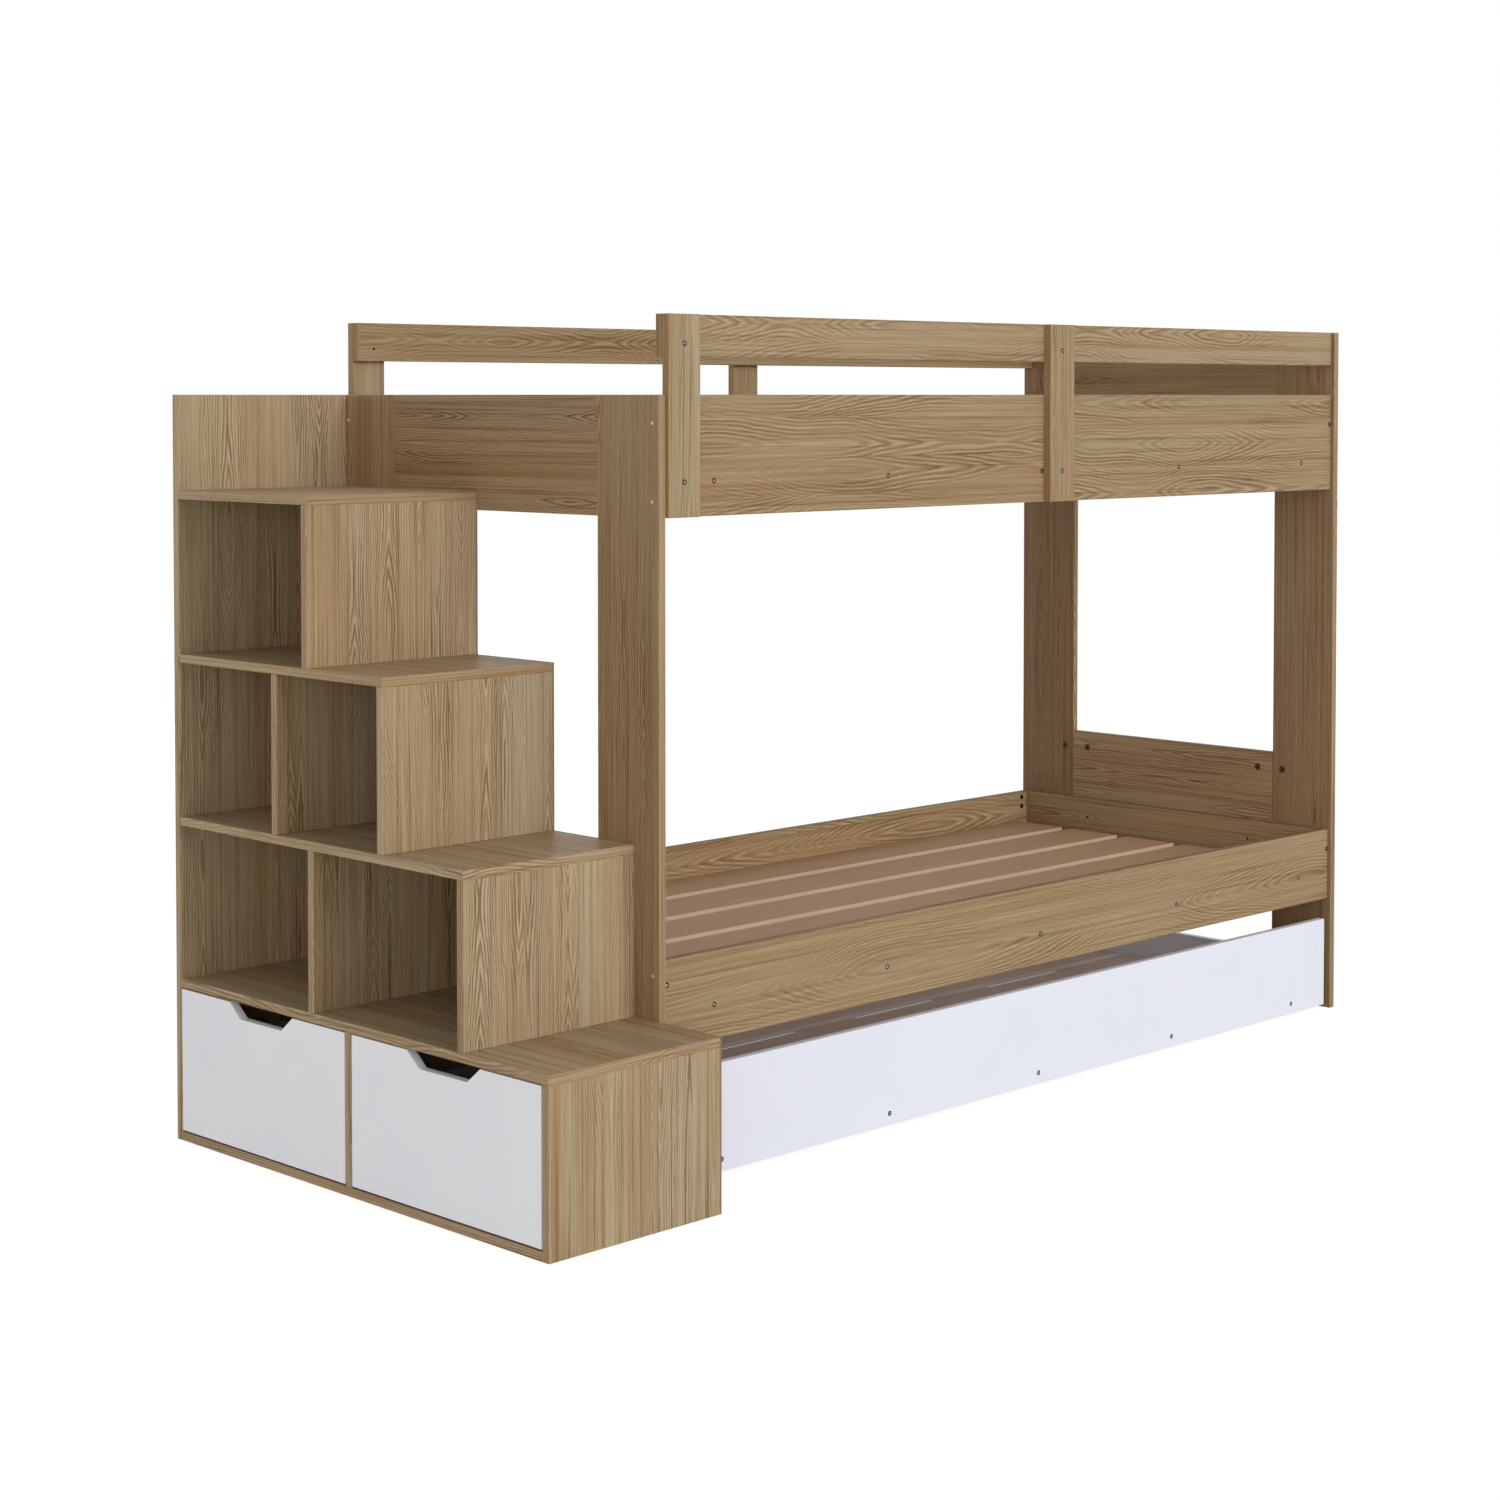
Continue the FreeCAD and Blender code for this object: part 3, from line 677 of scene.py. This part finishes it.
class PointTree:
    """Geometry Nodes tree that sets one small shape on every point of a mesh."""

    SOCKETS = (("Geometry", "Geometry"), ("Vector", "Facing"),
               ("Float", "Width Narrow Depth Lift Turn"), ("Material", "Material"))

    def __init__(self, name: str) -> None:
        """Start the tree with its inputs and outputs."""
        self.group = bpy.data.node_groups.new(name, "GeometryNodeTree")
        face = self.group.interface
        for kind, labels in self.SOCKETS:
            for label in labels.split():
                face.new_socket(name=label, in_out="INPUT", socket_type=f"NodeSocket{kind}")
        face.new_socket(name="Geometry", in_out="OUTPUT", socket_type="NodeSocketGeometry")
        self.tree = Tree(self.group)
        self.given = self.tree.node("NodeGroupInput").outputs
        self.write()

    def shape(self) -> Socket:
        """Make the shape that is set on each point, standing along +Z."""
        raise NotImplementedError

    def write(self) -> None:
        """Write the part of the tree that all shapes share."""
        t, given = self.tree, self.given
        raised = t.node("GeometryNodeTransform")
        t.fill(raised, {"Geometry": self.shape(), "Translation": t.vector(0.0, 0.0, given["Lift"]),
                        "Rotation": t.vector(0.0, 0.0, given["Turn"])})
        aim = t.node("FunctionNodeAlignRotationToVector", axis="Z")
        t.feed(aim.inputs["Vector"], given["Facing"])
        setter = t.node("GeometryNodeInstanceOnPoints")
        t.fill(setter, {"Points": given["Geometry"], "Instance": raised.outputs[0],
                        "Rotation": aim.outputs[0]})
        real = t.node("GeometryNodeRealizeInstances")
        t.feed(real.inputs[0], setter.outputs[0])
        paint = t.node("GeometryNodeSetMaterial")
        t.fill(paint, {"Geometry": real.outputs[0], "Material": given["Material"]})
        t.feed(t.node("NodeGroupOutput").inputs[0], paint.outputs[0])

    def lay(self, name: str, body: str, slot: str, points: Sequence[Point], facing: Facing,
            material: bpy.types.Material, width: float, narrow: float, depth: float,
            lift: float = 0.0, turn: float = 0.0) -> bpy.types.Object:
        """Lay the shape on points and turn the result into a plain piece.

        Args:
            name: The piece's name.
            body: The body it rides on.
            slot: Not used.
            points: Where the shapes stand, in metres.
            facing: The direction they look.
            material: Their material.
            width: Width at the foot.
            narrow: Width at the top.
            depth: Height of the shape.
            lift: Height of its foot over the point.
            turn: Turn about its own axis, in radians.

        Returns:
            The finished piece.
        """
        mesh = bpy.data.meshes.new(name)
        mesh.from_pydata([tuple(p) for p in points], [], [])
        piece = bpy.data.objects.new(name, mesh)
        bpy.context.scene.collection.objects.link(piece)
        modifier = piece.modifiers.new("Points", "NODES")
        modifier.node_group = self.group
        names = {item.name: item.identifier for item in self.group.interface.items_tree
                 if item.in_out == "INPUT"}
        for label, value in (("Facing", facing.value), ("Width", width), ("Narrow", narrow),
                             ("Depth", depth), ("Lift", lift), ("Turn", turn),
                             ("Material", material)):
            modifier[names[label]] = value
        piece.update_tag()
        graph = bpy.context.evaluated_depsgraph_get()
        made = bpy.data.meshes.new_from_object(piece.evaluated_get(graph))
        piece.modifiers.clear()
        piece.data = made
        made.name = name
        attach(piece, body)
        log.info("%s: %d set on %s", name, len(points), body)
        return piece


class FrustumTree(PointTree):
    """Flat round heads, rims, caps and discs."""

    SEGMENTS = 20

    def shape(self) -> Socket:
        """A low cone frustum whose foot is at the point."""
        t, given = self.tree, self.given
        cone = t.node("GeometryNodeMeshCone", fill_type="NGON")
        t.fill(cone, {"Vertices": self.SEGMENTS, "Depth": given["Depth"],
                      "Radius Bottom": t.times(given["Width"], 0.5),
                      "Radius Top": t.times(given["Narrow"], 0.5)})
        return cone.outputs["Mesh"]


class CrossTree(PointTree):
    """Cross-shaped driver recesses."""

    def shape(self) -> Socket:
        """Two thin bars at right angles, standing on the point."""
        t, given = self.tree, self.given
        join = t.node("GeometryNodeJoinGeometry")
        for first, second in (("Width", "Narrow"), ("Narrow", "Width")):
            bar = t.node("GeometryNodeMeshCube")
            t.feed(bar.inputs["Size"], t.vector(given[first], given[second], given["Depth"]))
            t.feed(join.inputs[0], bar.outputs["Mesh"])
        return join.outputs[0]


@dataclass
class Fixings:
    """Screws, cam locks, cover caps and drilled holes, set in rows by Geometry Nodes."""

    finishes: Finishes
    head: float = 4.8 * MM
    # Width of the dark ring of painted shadow round each screw head.
    shade_rim: float = 9.2 * MM
    proud: float = 0.3 * MM
    flush: float = 0.05 * MM
    cam: float = 13.4 * MM
    cam_rim: float = 1.2 * MM
    cap_width: float = 6.4 * MM
    cap_height: float = 0.7 * MM
    hole: float = 5.0 * MM
    bore: float = 11.0 * MM
    film: float = 0.06 * MM
    screw_turn: float = 0.6
    cam_turn: float = 0.35
    frustums: FrustumTree = field(init=False)
    crosses: CrossTree = field(init=False)

    def __post_init__(self) -> None:
        """Build the two trees."""
        self.frustums = FrustumTree("round_heads")
        self.crosses = CrossTree("driver_recesses")

    def screws(self, name: str, body: str, slot: str, points: Sequence[Point],
               facing: Facing, proud: float) -> None:
        """Countersunk screws: a dark ring of painted shadow, a steel head, and dark cross bars of
        painted shade in its driver slot.

        Args:
            name: Start of the pieces' names.
            body: The body they ride on.
            slot: Not used.
            points: Middles of the heads on the board's face.
            facing: The board's outward direction.
            proud: How far the heads stand out.
        """
        lay, film = self.frustums.lay, proud / 4
        lay(f"{name}_rims", body, slot, points, facing, self.finishes.painted_recess_shade,
            self.shade_rim, self.shade_rim * 0.97, film)
        lay(f"{name}_heads", body, slot, points, facing, self.finishes.screw_steel,
            self.head, self.head * 0.86, proud)
        # Dark cross bars on the head: painted shade of the driver's cross slot.
        self.crosses.lay(f"{name}_recesses", body, slot, points, facing, self.finishes.painted_recess_shade,
                         self.head * 0.56, self.head * 0.15, film, proud, self.screw_turn)

    def cams(self, name: str, points: Sequence[Point], facing: Facing) -> None:
        """Cam locks: a dark bore disc of painted shade, the cam's face, and its slot drawn as dark
        bars of painted shade.
        """
        lay, painted_recess_shade = self.frustums.lay, self.finishes.painted_recess_shade
        lay(f"{name}_bores", "frame", "oak_board", points, facing, painted_recess_shade,
            self.cam + self.cam_rim, self.cam + 1.0 * MM, self.film)
        lay(f"{name}_faces", "frame", "oak_board", points, facing, self.finishes.cam_face,
            self.cam * 0.86, self.cam * 0.8, 0.16 * MM)
        self.crosses.lay(f"{name}_slots", "frame", "oak_board", points, facing, painted_recess_shade,
                         self.cam * 0.6, self.cam * 0.2, self.film, 0.17 * MM, self.cam_turn)

    def caps(self, name: str, points: Sequence[Point], facing: Facing, height: float) -> None:
        """Pale cover caps over screws."""
        self.frustums.lay(name, "frame", "oak_board", points, facing, self.finishes.cap,
                          self.cap_width, self.cap_width * 0.72, height)

    def holes(self, name: str, points: Sequence[Point], facing: Facing, width: float) -> None:
        """Open drilled holes, drawn as flat dark discs of painted shade."""
        self.frustums.lay(name, "frame", "oak_board", points, facing, self.finishes.painted_recess_shade,
                          width, width, self.flush)


def on_end(x: float, columns: Sequence[float], rows: Sequence[float]) -> list[Point]:
    """Points of every column and row on a face that looks along X."""
    return [(x, column, row) for column in columns for row in rows]


def on_side(y: float, columns: Sequence[float], rows: Sequence[float]) -> list[Point]:
    """Points of every column and row on a face that looks along Y."""
    return [(column, y, row) for column in columns for row in rows]


def supports(face: float, first: float, pitch: float) -> tuple[float, ...]:
    """Middles of a deck's five cross supports.

    Args:
        face: The deck's left end.
        first: From there to the first middle.
        pitch: From one middle to the next.

    Returns:
        Their X.
    """
    return tuple(round(face + first + pitch * number, 5) for number in range(5))


@dataclass
class BedFrame:
    """Posts, planks, rails, decks and their fixings."""

    dresser: Dresser
    fixings: Fixings
    support_columns: tuple[float, ...] = supports(-0.7835, 0.1295, 0.4173)
    support_rows: tuple[float, ...] = (0.2845, 1.1335)
    corner_screws: tuple[tuple[float, float], ...] = (
        (-0.7595, 0.3315), (1.1165, 0.3315), (1.1165, 1.211))
    guard_columns: tuple[float, ...] = (-0.7335, 0.2205)
    guard_rows: tuple[float, ...] = (1.1333, 1.353)
    cap_columns: tuple[float, ...] = (-0.3285, 0.464)
    cap_rows: tuple[float, ...] = (0.252, 0.3486, 1.102, 1.227)
    cam_columns: tuple[float, ...] = (-0.223, -0.161, 0.293, 0.356)
    cam_rows: tuple[float, ...] = (0.4856,)
    rail_columns: tuple[float, ...] = (-0.147, 0.2805)
    rail_rows: tuple[float, ...] = (0.3325,)
    bore_columns: tuple[float, ...] = (1.0895,)
    bore_rows: tuple[float, ...] = (0.340, 0.361)
    guard_hole_row: float = 1.354

    def dress(self) -> None:
        """Give the frame's nodes their materials."""
        # The finishes below paint light and shade for how light falls on each board: end boards,
        # right posts and inner boards are darkened as painted shade, the back lower rail is lifted
        # as painted light, and the shaded and post_edge tints paint shade and light on the edge
        # bands.
        post_edge, shaded = (0.93, 0.85, 0.78), (0.58, 0.48, 0.36)
        end = OakFinish(painted_shading=0.77, warmth=1.0, edge=post_edge, ring=0.0050, heart=0.7)
        far = OakFinish(painted_shading=0.71, warmth=1.3, edge=post_edge, ring=0.0050, heart=0.7)
        dim = OakFinish(painted_shading=0.62, warmth=1.7, edge=post_edge, ring=0.0050, heart=0.7)
        inner = OakFinish(painted_shading=0.90, warmth=0.8, edge=shaded)
        inner_rail = OakFinish(painted_shading=1.14, line=(128, 100, 66), edge=shaded, strip=0.17,
                               ring=0.0090, stretch=1.0, heart=1.0, gloss=0.08)
        plank = OakFinish(painted_shading=0.89, warmth=0.3, line=(128, 98, 64), strip=0.075,
                          ring=0.0082, stretch=1.6, heart=0.85, gloss=0.08)
        rail = OakFinish(painted_shading=0.93, warmth=0.12, line=(132, 105, 70), light=(186, 169, 136),
                         edge=shaded, strip=0.17, ring=0.0090, stretch=1.0, heart=1.0,
                         gloss=0.08)
        guard = OakFinish(painted_shading=0.95, line=(136, 106, 72), light=(186, 168, 138),
                          edge=(0.84, 0.76, 0.67), ring=0.0074, heart=0.7, gloss=0.08)
        boards = self.dresser.boards
        boards(end, Grain.Z_BROAD_Y, "left_front_post", "left_back_post")
        boards(end, Grain.Y_UPRIGHT, "left_upper_end_plank", "left_lower_end_plank")
        boards(far, Grain.Z_BROAD_Y, "right_front_post")
        boards(dim, Grain.Z_BROAD_Y, "right_back_post")
        boards(end, Grain.Y_UPRIGHT, "right_upper_end_plank")
        boards(inner, Grain.Y_UPRIGHT, "right_lower_end_plank")
        boards(plank, Grain.X_UPRIGHT, "front_upper_plank_left", "front_upper_plank_right",
               "back_upper_plank_left", "back_upper_plank_right")
        boards(guard, Grain.X_UPRIGHT, "front_guard_rails", "back_guard_rails")
        boards(guard, Grain.Z_BROAD_X, "front_guard_boards", "back_guard_boards")
        boards(rail, Grain.X_UPRIGHT, "front_lower_rail")
        boards(inner_rail, Grain.X_UPRIGHT, "back_lower_rail")
        boards(inner, Grain.Y_UPRIGHT, "left_inner_end_rail", "right_inner_end_rail")
        slats = SlatFinish()
        for number, deck in enumerate(("lower", "upper")):
            for part, grain, shift, node in (("slat", Grain.X_FLAT, 1.7, "slats"),
                                             ("support", Grain.Y_FLAT, 0.9, "cross_supports")):
                lie = Lie(grain, (shift * number, 0.0, 0.0))
                wood = slats.material(f"{deck}_{part}_wood", lie)
                self.dresser.plain(wood, f"{deck}_{node}")

    def fix(self) -> None:
        """Set the frame's fixings on the faces that carry them."""
        for side, facing, rail, proud in (
                ("front", Facing.FRONT, "front_lower_rail", self.fixings.proud),
                ("back", Facing.WALL, "back_lower_rail", self.fixings.flush)):
            index = 0 if facing is Facing.FRONT else 1
            rail_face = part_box(rail)[index][1]
            guard_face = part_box(f"{side}_guard_boards")[index][1]
            points = on_side(rail_face, self.support_columns, self.support_rows)
            points += [(x, rail_face, z) for x, z in self.corner_screws]
            points += on_side(guard_face, self.guard_columns, self.guard_rows)
            self.fixings.screws(f"{side}_screws", "frame", "oak_board", points, facing, proud)
        self.fix_ends()

    def fix_ends(self) -> None:
        """Set the fixings of the end frames."""
        caps, holes = self.fixings.caps, self.fixings.holes
        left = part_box("left_front_post")[0][0]
        caps("left_post_caps", on_end(left, self.cap_columns, self.cap_rows), Facing.LEFT,
             self.fixings.cap_height)
        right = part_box("right_front_post")[1][0]
        caps("right_post_caps", on_end(right, self.cap_columns, self.cap_rows), Facing.RIGHT,
             self.fixings.flush)
        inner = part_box("right_front_post")[0][0]
        self.fixings.cams("right_end_cams", on_end(inner, self.cam_columns, self.cam_rows),
                          Facing.LEFT)
        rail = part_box("right_inner_end_rail")[0][0]
        holes("right_rail_holes", on_end(rail, self.rail_columns, self.rail_rows),
              Facing.LEFT, self.fixings.hole)
        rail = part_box("left_inner_end_rail")[1][0]
        holes("left_rail_holes", on_end(rail, self.rail_columns, self.rail_rows),
              Facing.RIGHT, self.fixings.hole)
        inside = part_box("back_lower_rail")[0][1]
        holes("back_rail_bores", on_side(inside, self.bore_columns, self.bore_rows),
              Facing.FRONT, self.fixings.bore)
        holes("back_guard_hole", [(self.guard_columns[0], inside, self.guard_hole_row)],
              Facing.FRONT, self.fixings.hole)


@dataclass
class StorageStair:
    """Treads, risers, dividers and the two closing panels."""

    dresser: Dresser

    def dress(self) -> None:
        """Give the stair's nodes their materials."""
        # The stair's finishes paint light and shade: the treads are darkened as painted shade on
        # their tops, and the risers, dividers and back panel are lifted as painted light.
        upright, tread = OakFinish(painted_shading=1.04), OakFinish(painted_shading=0.89, strip=0.11)
        boards = self.dresser.boards
        boards(OakFinish(painted_shading=1.10), Grain.Z_BROAD_X, "stair_back_panel")
        boards(tread, Grain.Y_FLAT, "stair_base_board")
        boards(upright, Grain.Z_BROAD_X, "stair_dividers")
        for number in range(1, 5):
            boards(upright, Grain.Z_BROAD_X, f"stair_riser_{number}")
            boards(tread, Grain.Y_FLAT, f"stair_tread_{number}")
        finishes = self.dresser.finishes
        lie = Lie(Grain.Z_BROAD_Y, self.dresser.offset())
        sheet = HardboardFinish(printed=-1.0).material("stair_sheet", lie)
        self.dresser.plain(sheet, "stair_back_sheet")
        self.dresser.plain(finishes.coat, "drawer_slide_channels")


@dataclass
class Drawer:
    """One drawer with its slides."""

    dresser: Dresser
    body: str

    def dress(self) -> None:
        """Give the drawer's nodes their materials."""
        finishes = self.dresser.finishes
        self.dresser.plain(finishes.white, f"{self.body}_front", f"{self.body}_sides",
                           f"{self.body}_back")
        self.dresser.plain(finishes.coat, f"{self.body}_slides")
        lie = Lie(Grain.X_FLAT, self.dresser.offset())
        sheet = HardboardFinish(printed=1.0).material(f"{self.body}_sheet", lie)
        self.dresser.plain(sheet, f"{self.body}_bottom")


@dataclass
class Trundle:
    """Roll-out bed with its wheels."""

    dresser: Dresser
    fixings: Fixings
    columns: tuple[float, ...] = supports(-0.7585, 0.1212, 0.4071)
    row: float = 0.028

    def dress(self) -> None:
        """Give the trundle's nodes their materials."""
        plain, finishes = self.dresser.plain, self.dresser.finishes
        plain(finishes.front_white, "trundle_front", "trundle_back", "trundle_sides")
        slats = SlatFinish(flat=(216, 196, 184), vein=(204, 183, 170), edge=(248, 238, 232))
        plain(slats.material("trundle_slat_wood", Lie(Grain.X_FLAT, (4.1, 0.3, 0.0))),
              "trundle_slats")
        plain(slats.material("trundle_support_wood", Lie(Grain.Y_FLAT, (2.3, 0.1, 0.0))),
              "trundle_cross_supports")
        plain(finishes.plated, "wheel_brackets")
        plain(finishes.nylon, "left_front_wheel", "left_back_wheel", "right_front_wheel",
              "right_back_wheel")

    def fix(self) -> None:
        """Set the screws that hold the cross supports."""
        for side, facing in (("front", Facing.FRONT), ("back", Facing.WALL)):
            index = 0 if facing is Facing.FRONT else 1
            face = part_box(f"trundle_{side}")[index][1]
            self.fixings.screws(f"trundle_{side}_screws", "trundle", "white_board",
                                on_side(face, self.columns, (self.row,)), facing,
                                self.fixings.proud)


@dataclass(frozen=True)
class View:
    """Camera that was solved from the photograph's straight lines."""

    place: Point = (-3.7524, -3.5184, 1.2700)
    down: float = 2.0         # degrees below level
    heading: float = -44.9511
    sensor: float = 36.0
    lens: float = 66.2435
    shift: tuple[float, float] = (0.00092, -0.17182)


@dataclass(frozen=True)
class Lamp:
    """One soft rectangular lamp, aimed at the middle of the bed."""

    name: str
    place: Point
    size: tuple[float, float]
    power: float
    target: Point = (0.0, 0.0, 0.6)


@dataclass
class Studio:
    """Camera, floor, surroundings and lamps."""

    view: View = View()
    ambient: float = 0.54
    floor_size: float = 60.0
    floor_light: float = 0.72     # the floor's grey to rays that light the object
    floor_grey: float = 0.22      # its grey to the eye, under its own glow
    # The lower glow below the bed is painted shade.
    glow: tuple[float, float] = (0.88, 0.40)      # beside the bed and below it
    # Middle and reach of that painted shade on the floor, in metres.
    shade_middle: tuple[float, float] = (0.176, 0.07)
    shade_reach: tuple[tuple[float, float], ...] = ((0.92, 0.80), (0.38, 0.28))
    lamps: tuple[Lamp, ...] = (
        Lamp("front", (0.0, -13.0, 5.4), (6.0, 4.0), 700.0),
        Lamp("corner", (-9.0, -9.5, 2.0), (4.0, 3.0), 150.0),
        Lamp("stair_side", (-12.0, -3.0, 2.0), (4.0, 3.0), 130.0),
        Lamp("far_end", (12.0, 1.0, 2.0), (4.0, 3.0), 300.0),
        Lamp("wall_side", (0.0, 13.0, 3.0), (6.0, 4.0), 380.0),
    )

    def build(self) -> None:
        """Build everything round the object."""
        self.make_camera()
        self.make_world()
        self.make_floor()
        for lamp in self.lamps:
            self.make_lamp(lamp)
        bpy.context.scene.view_settings.view_transform = "Standard"
        log.info("studio ready")

    def make_camera(self) -> None:
        """Set the camera."""
        data = bpy.data.cameras.new("camera")
        data.sensor_width = self.view.sensor
        data.lens = self.view.lens
        data.shift_x, data.shift_y = self.view.shift
        camera = bpy.data.objects.new("camera", data)
        camera.location = self.view.place
        camera.rotation_euler = (math.radians(90.0 - self.view.down), 0.0,
                                 math.radians(self.view.heading))
        bpy.context.scene.collection.objects.link(camera)
        bpy.context.scene.camera = camera

    @staticmethod
    def by_ray(tree: Tree, light: Socket, look: Socket, output: str) -> None:
        """Give rays that light the object one shader, and those that are looked along another.

        Args:
            tree: The tree that is written.
            light: The shader to diffuse rays.
            look: The shader to camera, glossy and transmission rays.
            output: The output node's type name.
        """
        path = tree.node("ShaderNodeLightPath").outputs
        either = tree.math("MAXIMUM", path["Is Camera Ray"], path["Is Glossy Ray"])
        share = tree.math("MAXIMUM", either, path["Is Transmission Ray"])
        mix = tree.node("ShaderNodeMixShader")
        for target, value in zip(mix.inputs, (share, light, look)):
            tree.feed(target, value)
        tree.feed(tree.node(output).inputs["Surface"], mix.outputs[0])

    def make_world(self) -> None:
        """White to the eye, and even plain light on the object."""
        world = bpy.data.worlds.new("surroundings")
        tree = clear_tree(world)
        lit, white = (tree.node("ShaderNodeBackground") for _ in range(2))
        tree.fill(lit, {"Color": WHITE, "Strength": self.ambient})
        tree.fill(white, {"Color": WHITE})
        self.by_ray(tree, lit.outputs[0], white.outputs[0], "ShaderNodeOutputWorld")
        bpy.context.scene.world = world

    def floor_glow_with_painted_shade(self, tree: Tree) -> Socket:
        """Glow of the floor, with a painted shade that falls softly below the bed, where hardly any
        light comes.
        """
        place = tree.parts(tree.node("ShaderNodeTexCoord").outputs["Object"])
        share = tree.times(*(tree.ramp(tree.apart(way, middle), *reach) for way, middle, reach
                             in zip(place, self.shade_middle, self.shade_reach)))
        return tree.ramp(share, 0.0, 1.0, *self.glow)

    def make_floor(self) -> None:
        """Pale floor that keeps a soft shadow from the lamps and a painted shade below the bed."""
        half = self.floor_size / 2
        mesh = bpy.data.meshes.new("floor")
        mesh.from_pydata([(-half, -half, 0), (half, -half, 0), (half, half, 0),
                          (-half, half, 0)], [], [(0, 1, 2, 3)])
        floor = bpy.data.objects.new("floor", mesh)
        bpy.context.scene.collection.objects.link(floor)
        material = bpy.data.materials.new("floor")
        tree = clear_tree(material)
        plain, held = (tree.node("ShaderNodeBsdfDiffuse") for _ in range(2))
        for shader, grey in ((plain, self.floor_light), (held, self.floor_grey)):
            tree.fill(shader, {"Color": (grey, grey, grey, 1.0)})
        glow = tree.node("ShaderNodeEmission")
        tree.fill(glow, {"Strength": self.floor_glow_with_painted_shade(tree)})
        add = tree.node("ShaderNodeAddShader")
        for target, value in zip(add.inputs, (held.outputs[0], glow.outputs[0])):
            tree.feed(target, value)
        self.by_ray(tree, plain.outputs[0], add.outputs[0], "ShaderNodeOutputMaterial")
        mesh.materials.append(material)

    @staticmethod
    def make_lamp(lamp: Lamp) -> None:
        """Hang one lamp and aim it at its target."""
        data = bpy.data.lights.new(lamp.name, "AREA")
        data.shape = "RECTANGLE"
        data.size, data.size_y = lamp.size
        data.energy = lamp.power
        light = bpy.data.objects.new(lamp.name, data)
        light.location = lamp.place
        aim = Vector(lamp.target) - Vector(lamp.place)
        light.rotation_euler = aim.to_track_quat("-Z", "Y").to_euler()
        bpy.context.scene.collection.objects.link(light)


def main() -> None:
    """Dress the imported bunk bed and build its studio."""
    logging.basicConfig(level=logging.INFO, format="%(message)s")
    finishes = Finishes()
    dresser = Dresser(finishes)
    fixings = Fixings(finishes)
    bed = BedFrame(dresser, fixings)
    bed.dress()
    bed.fix()
    StorageStair(dresser).dress()
    for body in ("front_drawer", "rear_drawer"):
        Drawer(dresser, body).dress()
    trundle = Trundle(dresser, fixings)
    trundle.dress()
    trundle.fix()
    Studio().build()


if __name__ == "__main__":
    main()
